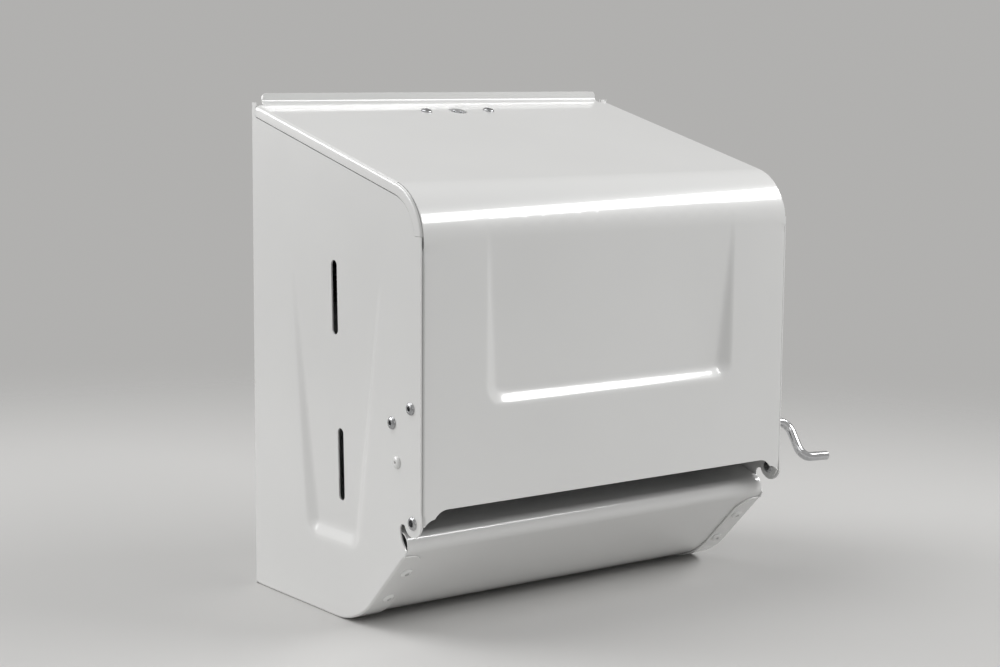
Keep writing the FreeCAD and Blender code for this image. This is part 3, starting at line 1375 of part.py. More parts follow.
def roll_arm():
    """Left arm: a foot on the back and a tapered blade with a round end."""
    tip = v.roll_y - v.arm_tip_half - v.depth
    path = [(-arm_face - v.arm_foot, -back_face), (-arm_face, -back_face, v.arm_bend), (-arm_face, tip)]
    strip = extrude("arm_sheet", TOP_VIEW, [bent_sheet(path, v.arm_gauge)], "2*sizes.arm_foot_half",
                    {"z": "sizes.roll_z - sizes.arm_foot_half"})
    shape = loop([(v.depth, v.roll_z - v.arm_foot_half), (v.depth, v.roll_z + v.arm_foot_half),
                  (v.roll_y - v.arm_tip_half, v.roll_z + v.arm_tip_half, 0.95 * v.arm_tip_half),
                  (v.roll_y - v.arm_tip_half, v.roll_z - v.arm_tip_half, 0.95 * v.arm_tip_half)])
    contour = extrude("arm_contour", SIDE_VIEW, [shape], HALF, {"x": f"-{HALF}", **FRONT})
    holes = [rod("arm_pin_hole", "sizes.hub_pin_radius + sizes.seat_gap", f"{THROUGH}", TOWARDS_X,
                 at_axis(ROLL, f"{-arm_face - THROUGH / 2}"))]
    for i, (x, z) in enumerate(ARM_RIVETS[:2]):
        holes.append(rod(f"arm_rivet_hole{i}", HOLE, f"{THROUGH}", Vector(0, -1, 0),
                         {"x": f"{x}", "y": "0", "z": f"{z}"}))
    return cut("arm", common("arm_blank", strip, contour), holes)


left_arm = node("roll_arm_left", roll_arm())
node("roll_arm_right", mirrored("arm_right", left_arm))


def core_hub():
    """Left hub: a flange against the roll's end and a tapered cup inside its core."""
    bore = v.hub_pin_radius + v.running_gap
    outer = -(v.roll_length / 2 + v.roll_side_gap + v.hub_flange)
    face = outer + v.hub_flange
    nose = face + v.hub_length
    section = [(outer, bore), (outer, v.hub_flange_radius), (face, v.hub_flange_radius), (face, v.hub_radius),
               (nose, v.hub_radius - v.hub_draft), (nose, v.hub_radius - v.hub_draft - v.hub_wall),
               (face, v.hub_radius - v.hub_wall), (face, v.hub_boss_radius),
               (outer + v.hub_boss_length, v.hub_boss_radius), (outer + v.hub_boss_length, bore)]
    return lathe("core_hub", section, TOWARDS_X, at_axis(ROLL))


left_hub = node("core_hub_left", core_hub())
node("core_hub_right", mirrored("hub_right", left_hub))


def hub_rivets():
    """Pins fixed in the arms on which the hubs turn."""
    grip = v.arm_gauge + v.hub_gap + v.hub_boss_length + v.running_gap
    outline = rivet_outline(v.hub_pin_radius, v.hub_pin_head, v.hub_pin_head_height, grip,
                            v.hub_pin_head, v.hub_pin_head_height)
    pin = turned("hub_pin", outline, Vector(-1, 0, 0), at_axis(ROLL, f"{-arm_face - v.arm_gauge}"))
    return node("hub_rivets", group("hub_pin_group", [pin, mirrored("hub_pin_right", pin)]))


hub_rivets()


def latch_strike():
    """Angle on the back whose shelf catches the lock's cam."""
    rear = v.depth - back_face
    low, high = barrel_low + v.strike_low, barrel_low + v.strike_high
    path = [(rear, low), (rear, high, v.arm_bend), (rear - v.strike_reach, high)]
    blank = extrude("strike_sheet", SIDE_VIEW, [bent_sheet(path, -v.arm_gauge)], "sizes.strike_width",
                    {"x": "-sizes.strike_width / 2", **FRONT})
    holes = [rod(f"strike_hole{i}", HOLE, f"{THROUGH}", Vector(0, -1, 0),
                 {"x": f"{x}", "y": "0", "z": f"{z}"})
             for i, (x, z) in enumerate(STRIKE_RIVETS)]
    return node("latch_strike", cut("strike", blank, holes))


latch_strike()


def back_rivets():
    """Rivets of arms and strike; they end flush with the outside of the back."""
    grip = back_face + v.arm_gauge - v.seat_gap
    outline = rivet_outline(v.rivet_radius, v.rivet_head, v.rivet_head_height, grip)
    rivets = [turned(f"back_rivet{i}", outline, Vector(0, -1, 0),
                     {"x": f"{x}", "y": f"{-back_face - v.arm_gauge}", "z": f"{z}"})
              for i, (x, z) in enumerate(ARM_RIVETS + STRIKE_RIVETS)]
    return node("back_rivets", group("back_rivet_group", rivets))


back_rivets()


# Lock under the top: case, key barrel and cam

TOP_SLOPED = Rotation(Vector(1, 0, 0), Vector(0, top_normal.z, -top_normal.y), top_normal, "XYZ")
case_top = v.gauge + v.seat_gap


def lock_case():
    """Plate under the top sheet with a round housing below it."""
    half, wide = v.lock_plate_half, v.lock_plate_width / 2
    plate = extrude("case_plate", TOP_SLOPED,
                    [loop([(-half, -wide, 3.0), (half, -wide, 3.0), (half, wide, 3.0), (-half, wide, 3.0)])],
                    "sizes.lock_plate", on_top(f"{case_top} + sizes.lock_plate"))
    body = top_drill("case_body", "sizes.lock_radius + sizes.lock_wall", "sizes.lock_height", f"{case_top}")
    bore = top_drill("case_bore", "sizes.lock_radius + sizes.running_gap", "sizes.lock_height + 1", "0")
    holes = [top_drill(f"case_hole{i}", HOLE, "4*sizes.gauge", "0", x) for i, x in enumerate(LOCK_RIVETS)]
    return node("lock_case", cut("case", fuse("case_blank", [plate, body]), [bore] + holes))


lock_case()


def lock_barrel():
    """Key barrel with its keyway and a riveted tail that holds the cam."""
    face, shoulder = -v.lock_recess, -v.lock_height - v.cam_drop
    tail = v.cam_bore - v.seat_gap
    below = shoulder - v.cam_plate - 2 * v.seat_gap
    section = [(face, 0), (face, v.lock_radius - 0.4), (face - 0.4, v.lock_radius), (shoulder, v.lock_radius),
               (shoulder, tail), (below, tail), (below, v.tail_rim),
               (below - v.tail_rim_height, v.tail_rim - v.shaft_chamfer), (below - v.tail_rim_height, 0)]
    blank = lathe("barrel_blank", section, top_normal, on_top("0"))
    keyway = extrude("keyway", TOP_SLOPED, [slot(0.0, 0.0, v.keyway_width, v.keyway_length)],
                     "sizes.keyway_depth + 1", on_top("sizes.lock_recess + sizes.keyway_depth"))
    return node("lock_barrel", cut("barrel", blank, [keyway]))


lock_barrel()


def lock_cam():
    """Cam on the barrel's tail; it points sideways when unlocked."""
    half = v.cam_width / 2
    bend = 0.9 * half
    below = "sizes.lock_height + sizes.cam_drop + sizes.seat_gap + sizes.cam_plate"
    blank = extrude("cam_sheet", TOP_SLOPED,
                    [loop([(-v.cam_length, -half, bend), (half, -half, bend), (half, half, bend),
                           (-v.cam_length, half, bend)])], "sizes.cam_plate", on_top(below))
    bore = top_drill("cam_hole", "sizes.cam_bore", "sizes.lock_height + 3*sizes.cam_plate",
                     "sizes.lock_height")
    return node("lock_cam", cut("cam", blank, [bore]))


lock_cam()


def lock_rivets():
    """Hollow domed rivets beside the keyhole."""
    outline = rivet_outline(v.rivet_radius, v.rivet_head, v.rivet_head_height, case_top + v.lock_plate,
                            v.rivet_tail, v.rivet_tail_height, v.rivet_eye, v.rivet_head_height)
    rivets = [turned(f"lock_rivet{i}", outline, top_normal, on_top("0", x))
              for i, x in enumerate(LOCK_RIVETS)]
    return node("lock_rivets", group("lock_rivet_group", rivets))


lock_rivets()


# Check every object, then write one file for each sub-part

doc.recompute()
for item in doc.Objects:
    if any(word in item.State for word in ("Invalid", "Error")):
        raise RuntimeError(f"{item.Name}: {item.State}")
for label, item in NODES:
    if item.Shape.isNull() or not item.Shape.isValid():
        raise RuntimeError(f"{label}: shape is not valid")
os.makedirs("parts", exist_ok=True)
for label, item in NODES:
    item.Shape.exportStep(f"parts/{label}.step")
    box = item.Shape.BoundBox
    print(f"{label:26s} solids {len(item.Shape.Solids)}  volume {item.Shape.Volume:10.1f}  "
          f"x {box.XMin:7.1f} {box.XMax:7.1f}  y {box.YMin:7.1f} {box.YMax:7.1f}  "
          f"z {box.ZMin:6.1f} {box.ZMax:6.1f}")
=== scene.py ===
# %% [markdown]
# # Lever paper towel dispenser
# The real object is a white enamelled steel cabinet that hangs on a wall. The cover drops
# forward, a roll hangs between two arms, and a chromed lever at the side turns the feed
# roller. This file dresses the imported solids: it gives every piece its finish, makes the
# large bent sheets and the small hardware anew where softer shapes are needed, and sets
# up the camera and the light.

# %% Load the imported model
import bisect
import json
import math

import bmesh
import bpy
from mathutils import Matrix, Vector
from mathutils.geometry import delaunay_2d_cdt


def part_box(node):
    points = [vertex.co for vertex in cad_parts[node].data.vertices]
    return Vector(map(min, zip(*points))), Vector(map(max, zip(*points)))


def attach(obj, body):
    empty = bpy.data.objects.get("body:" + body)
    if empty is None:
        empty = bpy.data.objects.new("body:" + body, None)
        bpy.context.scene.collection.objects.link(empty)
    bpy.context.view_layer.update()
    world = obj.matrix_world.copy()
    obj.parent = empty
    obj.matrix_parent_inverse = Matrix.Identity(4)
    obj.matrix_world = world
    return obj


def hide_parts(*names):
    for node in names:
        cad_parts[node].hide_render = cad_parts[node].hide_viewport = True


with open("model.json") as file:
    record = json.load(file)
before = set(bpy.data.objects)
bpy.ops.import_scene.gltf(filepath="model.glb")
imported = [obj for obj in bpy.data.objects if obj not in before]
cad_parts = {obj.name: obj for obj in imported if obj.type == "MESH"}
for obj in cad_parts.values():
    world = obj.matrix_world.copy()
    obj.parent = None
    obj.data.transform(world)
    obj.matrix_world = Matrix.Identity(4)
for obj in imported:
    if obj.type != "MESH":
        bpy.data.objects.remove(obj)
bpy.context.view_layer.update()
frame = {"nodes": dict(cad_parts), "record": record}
nodes = frame["nodes"]

# %% [markdown]
# ## Camera
# The photograph was taken from the front left, a little above the cabinet. Its vanishing
# lines give the direction and the lens, and the width of the cabinet gives the distance.
# The camera is aimed by its own axes, because three angles and one point say exactly
# where it stood and how it was held.

# %% Camera from yaw, pitch and roll
PHOTO_WIDTH = 1000
SENSOR = 36.0
FOCAL_PIXELS = 2002.5
CAMERA_AT = Vector((-0.7952, -1.1314, 0.3459))
YAW, PITCH, ROLL = (math.radians(angle) for angle in (36.94, 7.82, 0.417))


def camera_axes():
    """Right, up and backward axes of the camera."""
    ahead = Vector((math.sin(YAW) * math.cos(PITCH), math.cos(YAW) * math.cos(PITCH), -math.sin(PITCH)))
    level = Vector((math.cos(YAW), -math.sin(YAW), 0.0))
    above = level.cross(ahead)
    right = level * math.cos(ROLL) + above * math.sin(ROLL)
    up = above * math.cos(ROLL) - level * math.sin(ROLL)
    return right, up, -ahead


lens = bpy.data.cameras.new("camera")
lens.sensor_width = SENSOR
lens.lens = FOCAL_PIXELS * SENSOR / PHOTO_WIDTH
camera = bpy.data.objects.new("camera", lens)
bpy.context.collection.objects.link(camera)
turn = Matrix(camera_axes()).transposed().to_4x4()
camera.matrix_world = Matrix.Translation(CAMERA_AT) @ turn
bpy.context.scene.camera = camera
print("lens", round(lens.lens, 2), "mm")

# %% [markdown]
# ## Floor and light
# The cabinet stands on a plain pale floor. White enamel shows its shape only through
# slow changes of grey and through the reflection of a light. One long soft box hangs high
# at the right: the round shoulder and the lower wall of the front's pressing lean back at
# the angle that mirrors it, and show it as crisp white streaks. A second box stands behind
# at the left, so that the side's pressing gets a dark wall and a pale one. A wide one
# overhead and a weak one in front fill the rest.
#
# Node trees are built by two helpers. One adds a node and sets its values, the other links
# sockets by name, so that a tree reads as a short list.

# %% Helpers for node trees
def add_node(tree, kind, values=None, **settings):
    """New node with its settings, and with values on its inputs."""
    node = tree.nodes.new(kind)
    for name, value in settings.items():
        setattr(node, name, value)
    for socket, value in (values or {}).items():
        node.inputs[socket].default_value = value
    return node


def link_up(tree, *links):
    """Links, each given as node, output, node and input."""
    for source, output, target, socket in links:
        tree.links.new(source.outputs[output], target.inputs[socket])


def new_material(name, values):
    """Node material with values on its principled shader, its tree and that shader."""
    material = bpy.data.materials.new(name)
    material.use_nodes = True
    shader = material.node_tree.nodes["Principled BSDF"]
    for socket, value in values.items():
        shader.inputs[socket].default_value = value
    return material, material.node_tree, shader


# %% Floor
FLOOR_SIZE = 12.0
FLOOR_COLOUR = (0.60, 0.595, 0.585, 1.0)
BACKDROP_COLOUR = (0.44, 0.436, 0.428, 1.0)
FADE_START, FADE_END = 0.35, 1.05


def floor_finish():
    """Matt paint that fades into the backdrop further out, so that no horizon shows."""
    material, tree, shader = new_material("floor_paint", {"Base Color": FLOOR_COLOUR, "Roughness": 0.85})
    coordinates = add_node(tree, "ShaderNodeTexCoord")
    distance = add_node(tree, "ShaderNodeVectorMath", operation="LENGTH")
    fade = add_node(tree, "ShaderNodeMapRange", {"From Min": FADE_START, "From Max": FADE_END},
                    interpolation_type="SMOOTHSTEP")
    clear = add_node(tree, "ShaderNodeBsdfTransparent")
    mix = add_node(tree, "ShaderNodeMixShader")
    link_up(tree, (coordinates, "Object", distance, 0), (distance, "Value", fade, "Value"),
            (fade, "Result", mix, "Fac"), (shader, "BSDF", mix, 1), (clear, "BSDF", mix, 2),
            (mix, "Shader", tree.nodes["Material Output"], "Surface"))
    return material


def make_floor():
    """Square plane at the level of the cabinet's flat bottom."""
    half = FLOOR_SIZE / 2
    corners = [(-half, -half, 0), (half, -half, 0), (half, half, 0), (-half, half, 0)]
    mesh = bpy.data.meshes.new("floor")
    mesh.from_pydata(corners, [], [(0, 1, 2, 3)])
    mesh.materials.append(floor_finish())
    floor = bpy.data.objects.new("floor", mesh)
    bpy.context.collection.objects.link(floor)


make_floor()
print("floor", FLOOR_SIZE, "m square")

# %% Lamps and world
LAMPS = {
    "right_box": {"at": (1.03, -0.94, 1.17), "aim": (0.0, -0.19, 0.20), "size": (1.29, 0.37), "power": 18.0},
    "overhead": {"at": (-0.50, 0.25, 1.50), "aim": (-0.10, -0.05, 0.20), "size": (1.1, 0.9), "power": 9.0},
    "rear_left": {"at": (-1.25, 1.25, 0.78), "aim": (-0.15, -0.10, 0.12), "size": (1.2, 0.9), "power": 18.0},
    "front_left": {"at": (-1.3, -1.9, 0.9), "aim": (0.0, -0.10, 0.15), "size": (1.4, 1.2), "power": 4.5},
}
WORLD_COLOUR = (0.80, 0.80, 0.80, 1.0)
WORLD_STRENGTH = 0.24


def make_lamp(name, at, aim, size, power):
    """Rectangular soft box at a point, aimed at another."""
    light = bpy.data.lights.new(name, "AREA")
    light.shape = "RECTANGLE"
    light.size, light.size_y = size
    light.energy = power
    lamp = bpy.data.objects.new(name, light)
    bpy.context.collection.objects.link(lamp)
    way = Vector(aim) - Vector(at)
    lamp.matrix_world = Matrix.Translation(at) @ way.to_track_quat("-Z", "Y").to_matrix().to_4x4()


for name, values in LAMPS.items():
    make_lamp(name, **values)


def make_world():
    """Even grey sky, and a plain backdrop for the camera and for reflections."""
    world = bpy.data.worlds.new("sky")
    world.use_nodes = True
    bpy.context.scene.world = world
    tree = world.node_tree
    sky = tree.nodes["Background"]
    sky.inputs["Color"].default_value = WORLD_COLOUR
    sky.inputs["Strength"].default_value = WORLD_STRENGTH
    seen = add_node(tree, "ShaderNodeBackground", {"Color": BACKDROP_COLOUR, "Strength": 1.0})
    path = add_node(tree, "ShaderNodeLightPath")
    two_rays = add_node(tree, "ShaderNodeMath", operation="MAXIMUM")
    three_rays = add_node(tree, "ShaderNodeMath", operation="MAXIMUM")
    mix = add_node(tree, "ShaderNodeMixShader")
    link_up(tree, (path, "Is Camera Ray", two_rays, 0), (path, "Is Glossy Ray", two_rays, 1),
            (two_rays, "Value", three_rays, 0), (path, "Is Transmission Ray", three_rays, 1),
            (three_rays, "Value", mix, "Fac"), (sky, "Background", mix, 1), (seen, "Background", mix, 2),
            (mix, "Shader", tree.nodes["World Output"], "Surface"))


make_world()
bpy.context.scene.view_settings.view_transform = "Standard"
print("lamps", list(LAMPS))

# %% [markdown]
# ## Finishes
# Each finish is a principled shader with a little relief and unevenness from noise. Nothing
# about a real surface is perfectly even: enamel has a faint orange peel, zinc has soft
# clouds, rubber has a fine grain and chrome has hairlines. Painted pictures could give this
# too, but noise on object coordinates needs no unwrapping, has no seams and moves with its
# piece.

# %% Helpers for noise
def add_noise(tree, scale, detail=2.0, stretch=(1.0, 1.0, 1.0)):
    """Noise on object coordinates, which may be stretched along the axes."""
    coordinates = add_node(tree, "ShaderNodeTexCoord")
    mapping = add_node(tree, "ShaderNodeMapping", {"Scale": stretch})
    noise = add_node(tree, "ShaderNodeTexNoise", {"Scale": scale, "Detail": detail, "Roughness": 0.5})
    link_up(tree, (coordinates, "Object", mapping, "Vector"), (mapping, "Vector", noise, "Vector"))
    return noise


def add_relief(tree, shader, noise, height, strength):
    """Bump of a height in metres from a noise."""
    bump = add_node(tree, "ShaderNodeBump", {"Strength": strength, "Distance": height})
    link_up(tree, (noise, "Fac", bump, "Height"), (bump, "Normal", shader, "Normal"))


def vary_gloss(tree, shader, noise, low, high):
    """Roughness that wanders between two values."""
    change = add_node(tree, "ShaderNodeMapRange",
                      {"From Min": 0.3, "From Max": 0.7, "To Min": low, "To Max": high})
    link_up(tree, (noise, "Fac", change, "Value"), (change, "Result", shader, "Roughness"))


def vary_colour(tree, shader, noise, first, second):
    """Colour that changes slowly between two."""
    ramp = add_node(tree, "ShaderNodeValToRGB")
    for stop, position, colour in zip(ramp.color_ramp.elements, (0.35, 0.65), (first, second)):
        stop.position = position
        stop.color = (*colour, 1.0)
    link_up(tree, (noise, "Fac", ramp, "Fac"), (ramp, "Color", shader, "Base Color"))


print("noise reads object coordinates, in metres")

# %% Enamel, zinc, chrome, rubber and plastics
def enamel_finish():
    """Glossy white baked enamel with a faint orange peel."""
    material, tree, shader = new_material("white_enamel", {"Coat Weight": 1.0, "Coat Roughness": 0.06})
    vary_colour(tree, shader, add_noise(tree, 9.0), (0.79, 0.79, 0.78), (0.81, 0.81, 0.80))
    vary_gloss(tree, shader, add_noise(tree, 30.0), 0.28, 0.31)
    add_relief(tree, shader, add_noise(tree, 1400.0, 1.0), 0.000002, 0.2)
    return material


def zinc_finish():
    """Zinc-plated steel with soft clouds and a fine rolling grain."""
    material, tree, shader = new_material("zinc_steel", {"Metallic": 1.0})
    vary_colour(tree, shader, add_noise(tree, 60.0, 3.0), (0.37, 0.375, 0.385), (0.45, 0.455, 0.46))
    vary_gloss(tree, shader, add_noise(tree, 220.0), 0.20, 0.32)
    add_relief(tree, shader, add_noise(tree, 700.0, stretch=(0.15, 1.0, 1.0)), 0.000006, 0.4)
    return material


def chrome_finish():
    """Polished chrome with hairline scratches."""
    material, tree, shader = new_material("chrome", {"Metallic": 1.0})
    vary_colour(tree, shader, add_noise(tree, 80.0), (0.58, 0.585, 0.60), (0.64, 0.645, 0.655))
    vary_gloss(tree, shader, add_noise(tree, 400.0, 4.0), 0.04, 0.12)
    add_relief(tree, shader, add_noise(tree, 1500.0, stretch=(0.2, 1.0, 1.0)), 0.000004, 0.3)
    return material


def rubber_finish():
    """Dark grey rubber with a fine grain."""
    material, tree, shader = new_material("grey_rubber", {})
    vary_colour(tree, shader, add_noise(tree, 150.0, 3.0), (0.030, 0.030, 0.032), (0.050, 0.050, 0.052))
    vary_gloss(tree, shader, add_noise(tree, 300.0), 0.62, 0.78)
    add_relief(tree, shader, add_noise(tree, 2200.0), 0.00005, 0.5)
    return material


def plastic_finish(name, colour):
    """Moulded plastic with a fine satin texture."""
    material, tree, shader = new_material(name, {})
    darker = tuple(0.92 * part for part in colour)
    vary_colour(tree, shader, add_noise(tree, 60.0), darker, colour)
    vary_gloss(tree, shader, add_noise(tree, 250.0), 0.40, 0.52)
    add_relief(tree, shader, add_noise(tree, 1600.0, 1.0), 0.00002, 0.4)
    return material


finishes = {
    "white_enamel": enamel_finish(),
    "zinc_steel": zinc_finish(),
    "chrome": chrome_finish(),
    "grey_rubber": rubber_finish(),
    "grey_plastic": plastic_finish("grey_plastic", (0.20, 0.205, 0.21)),
    "white_plastic": plastic_finish("white_plastic", (0.70, 0.70, 0.68)),
}


def dress(node, material):
    """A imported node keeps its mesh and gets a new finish."""
    mesh = nodes[node].data
    mesh.materials.clear()
    mesh.materials.append(material)


for part in frame["record"]["subparts"]:
    dress(part["node"], finishes[part["material_slot"]])
print("finishes", sorted(finishes))

# %% [markdown]
# ## Drawing sheets
# Bent steel sheet is one surface with a thickness. Each large piece is drawn flat, as an
# outline with holes, filled with triangles, and then every point is carried to its place
# by a rule: round a bend, over a fold or down into a pressing. Solidify gives the wall and
# a small Bevel breaks the cut edges. Drawing it flat first keeps every bend smooth.

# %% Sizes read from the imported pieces, in millimetres
def box_mm(node):
    """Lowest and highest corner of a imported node, in millimetres."""
    low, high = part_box(node)
    return [1000 * value for value in low], [1000 * value for value in high]


shell_high = box_mm("cabinet_shell")[1]
cover_low_corner, cover_high = box_mm("front_cover")
HALF_WIDTH = cover_high[0]
DEPTH = -cover_low_corner[1]
REAR_HEIGHT = shell_high[2]
LIP_HEIGHT = cover_high[2]
GAUGE = 1.0
TOP_SLOPE = math.radians(14.2)
SHOULDER = 35.0
COVER_EDGE = HALF_WIDTH - 1.5
print("width", 2 * HALF_WIDTH, "depth", DEPTH, "height", LIP_HEIGHT)

# %% Points on arcs and along lines
CORNER_MIDDLE = 0.293


def arc_points(first, middle, last, count):
    """Points of the arc through three points, without its first one."""
    (ax, ay), (bx, by), (cx, cy) = first, middle, last
    d = 2 * (ax * (by - cy) + bx * (cy - ay) + cx * (ay - by))
    ux = ((ax**2 + ay**2) * (by - cy) + (bx**2 + by**2) * (cy - ay) + (cx**2 + cy**2) * (ay - by)) / d
    uy = ((ax**2 + ay**2) * (cx - bx) + (bx**2 + by**2) * (ax - cx) + (cx**2 + cy**2) * (bx - ax)) / d
    radius = math.hypot(ax - ux, ay - uy)
    start = math.atan2(ay - uy, ax - ux)
    via = (math.atan2(by - uy, bx - ux) - start) % (2 * math.pi)
    end = (math.atan2(cy - uy, cx - ux) - start) % (2 * math.pi)
    sweep = end if via < end else end - 2 * math.pi
    angles = [start + sweep * k / count for k in range(1, count + 1)]
    return [(ux + radius * math.cos(angle), uy + radius * math.sin(angle)) for angle in angles]


def corner_points(start, sharp, end, count):
    """Rounds a square corner from its start to its end, without the first point."""
    middle = tuple(s + CORNER_MIDDLE * (a - s + b - s) for a, s, b in zip(start, sharp, end))
    return arc_points(start, middle, end, count)


def ring(u, w, radius, count):
    """Round hole in a flat drawing."""
    angles = [2 * math.pi * k / count for k in range(count)]
    return [(u + radius * math.cos(angle), w + radius * math.sin(angle)) for angle in angles]


def steps(start, stop, pitch):
    """Even positions from start to stop, about a pitch apart, both ends included."""
    count = max(1, round(abs(stop - start) / pitch))
    return [start + (stop - start) * k / count for k in range(count + 1)]


def path_points(corners, pitch):
    """Points along straight runs, without the first one."""
    points = []
    for (u0, w0), (u1, w1) in zip(corners, corners[1:]):
        length = math.hypot(u1 - u0, w1 - w0)
        count = max(1, round(length / pitch))
        points += [(u0 + (u1 - u0) * k / count, w0 + (w1 - w0) * k / count) for k in range(1, count + 1)]
    return points


def walk(points, pitch, *targets):
    """Carries an outline on along straight runs to further points."""
    points += path_points([points[-1], *targets], pitch)


def marks_along(line):
    """Distance of each point of a line from its start."""
    marks = [0.0]
    for (y0, z0), (y1, z1) in zip(line, line[1:]):
        marks.append(marks[-1] + math.hypot(y1 - y0, z1 - z0))
    return marks


def point_along(line, marks, distance):
    """Point at a distance along a line, and the number of the run that it lies on."""
    run = max(0, min(len(marks) - 2, bisect.bisect_right(marks, distance) - 1))
    part = (distance - marks[run]) / (marks[run + 1] - marks[run])
    (y0, z0), (y1, z1) = line[run], line[run + 1]
    return (y0 + (y1 - y0) * part, z0 + (z1 - z0) * part), run


print("a square corner of 3 mm takes", len(corner_points((3, 0), (3, 3), (0, 3), 6)), "points")

# %% Depth of a pressing
def inside_distance(u, w, corners, rounding):
    """Distance from a point inside a convex outline with round corners to its rim; negative outside."""
    inset = []
    count = len(corners)
    for k in range(count):
        (u0, w0), (u1, w1) = corners[k], corners[(k + 1) % count]
        length = math.hypot(u1 - u0, w1 - w0)
        inset.append(((w0 - w1) * (u - u0) + (u1 - u0) * (w - w0)) / length - rounding)
    nearest = min(inset)
    if nearest >= 0:
        return nearest + rounding
    outside = sorted(value for value in inset if value < 0)
    reach = math.hypot(*outside[:2]) if len(outside) > 1 else -outside[0]
    return rounding - reach


def pressing(distance, wall, depth, limit, soft):
    """Depth of a pressing: a sloping wall down to a limit, with soft edges."""
    rise = depth * distance / wall
    lower = 0.5 * (rise + limit - math.sqrt((rise - limit) ** 2 + soft**2))
    return 0.5 * (lower + math.sqrt(lower**2 + soft**2)) - 0.25 * soft * soft / (soft + abs(lower))


print("2 mm inside its rim a 10 mm wall is", round(pressing(2.0, 10.0, 4.0, 4.0, 0.4), 2), "of 4 mm deep")

# %% Filling a flat drawing with triangles
TRIANGLES_INSIDE = 1
SAME_POINT = 1e-5


def inside(point, loop):
    """True if a point lies inside a closed loop."""
    x, y = point
    hit = False
    for (x0, y0), (x1, y1) in zip(loop, loop[1:] + loop[:1]):
        if (y0 > y) != (y1 > y) and x < (x1 - x0) * (y - y0) / (y1 - y0) + x0:
            hit = not hit
    return hit


def near(point, loop, margin):
    """True if a point lies within a margin of a loop's points."""
    x, y = point
    return any(abs(px - x) < margin and abs(py - y) < margin for px, py in loop)


def fill_drawing(outline, holes, filling, margin=0.35):
    """Triangles of an outline with holes; filling points refine the inside."""
    points = list(outline)
    edges = [(k, (k + 1) % len(outline)) for k in range(len(outline))]
    for hole in holes:
        first = len(points)
        points += hole
        edges += [(first + k, first + (k + 1) % len(hole)) for k in range(len(hole))]
    loops = [outline] + list(holes)
    for point in filling:
        if inside(point, outline) and not any(inside(point, hole) for hole in holes):
            if not any(near(point, loop, margin) for loop in loops):
                points.append(point)
    flat = [Vector(point) for point in points]
    verts, _, faces, *_ = delaunay_2d_cdt(flat, edges, [], TRIANGLES_INSIDE, SAME_POINT)
    kept = []
    for face in faces:
        u = sum(verts[k].x for k in face) / 3
        w = sum(verts[k].y for k in face) / 3
        if inside((u, w), outline) and not any(inside((u, w), hole) for hole in holes):
            kept.append(tuple(face))
    return [(vert.x, vert.y) for vert in verts], kept


sample = fill_drawing([(0, 0), (9, 0), (9, 9), (0, 9)], [ring(4.5, 4.5, 2.0, 12)], [])
print("a square with a round hole takes", len(sample[1]), "triangles")

# %% From drawings to a finished sheet
MM = 0.001
WELD = 0.002
BROKEN_EDGE = 0.28
SHARP = math.radians(50)


def sheet_object(name, patches):
    """Joins filled drawings, each with its own rule of place, to one surface in metres."""
    mesh = bpy.data.meshes.new(name)
    shape = bmesh.new()
    for (points, faces), place, flip in patches:
        verts = [shape.verts.new([MM * part for part in place(u, w)]) for u, w in points]
        for face in faces:
            order = reversed(face) if flip else face
            shape.faces.new([verts[k] for k in order])
    bmesh.ops.remove_doubles(shape, verts=shape.verts, dist=MM * WELD)
    for face in shape.faces:
        face.smooth = True
    shape.to_mesh(mesh)
    shape.free()
    piece = bpy.data.objects.new(name, mesh)
    bpy.context.collection.objects.link(piece)
    return piece


def thicken(piece):
    """Wall of the sheet behind its outer face, and broken edges."""
    wall = piece.modifiers.new("wall", "SOLIDIFY")
    wall.thickness = MM * GAUGE
    wall.offset = -1.0
    wall.use_even_offset = True
    rim = piece.modifiers.new("edge", "BEVEL")
    rim.width = MM * BROKEN_EDGE
    rim.segments = 2
    rim.limit_method = "ANGLE"
    rim.angle_limit = SHARP
    rim.harden_normals = True
    return piece


print("sheet", GAUGE, "mm thick, edges broken by", BROKEN_EDGE, "mm")

# %% [markdown]
# ## Cover
# The cover is one sheet: a flat front, a round shoulder, a sloping top and a lip that
# turns up at the wall. Along the top its edges fold down over the sides as a band, which
# runs on round the shoulder as a tongue beside a fine slit. The front has a wide shallow
# pressing that is deepest at its lower edge. It could be built from bevelled slabs, but
# their joints would show in the glossy enamel. All of it follows one line, so the drawing's
# second axis is the distance along that line.

# %% The line that the cover follows
def top_line(y):
    """Height of the sloping top at a distance behind the front."""
    return REAR_HEIGHT - (DEPTH - y) * math.tan(TOP_SLOPE)


LIP_FACE = DEPTH - 1.8
LIP_BEND = 3.0
LINE_START = cover_low_corner[2]
turn_angle = math.pi / 2 - TOP_SLOPE
bend_z = top_line(0) - SHOULDER * math.tan(turn_angle / 2)
lip_reach = LIP_BEND * math.tan(turn_angle / 2)
front_length = bend_z - LINE_START
shoulder_length = SHOULDER * turn_angle
slope_start = (SHOULDER * (1 - math.cos(turn_angle)), bend_z + SHOULDER * math.sin(turn_angle))
slope_end = (LIP_FACE - lip_reach * math.cos(TOP_SLOPE), top_line(LIP_FACE) - lip_reach * math.sin(TOP_SLOPE))
slope_length = math.hypot(slope_end[0] - slope_start[0], slope_end[1] - slope_start[1])
lip_arc = LIP_BEND * turn_angle
lip_length = LIP_HEIGHT - top_line(LIP_FACE) - lip_reach
AT_SHOULDER = front_length
AT_SLOPE = AT_SHOULDER + shoulder_length
AT_BEND = AT_SLOPE + slope_length
AT_LIP = AT_BEND + lip_arc
AT_END = AT_LIP + lip_length
bends = [round(mark, 1) for mark in (AT_SHOULDER, AT_SLOPE, AT_BEND)]
print("cover line", round(AT_END, 1), "mm long, bends at", bends)


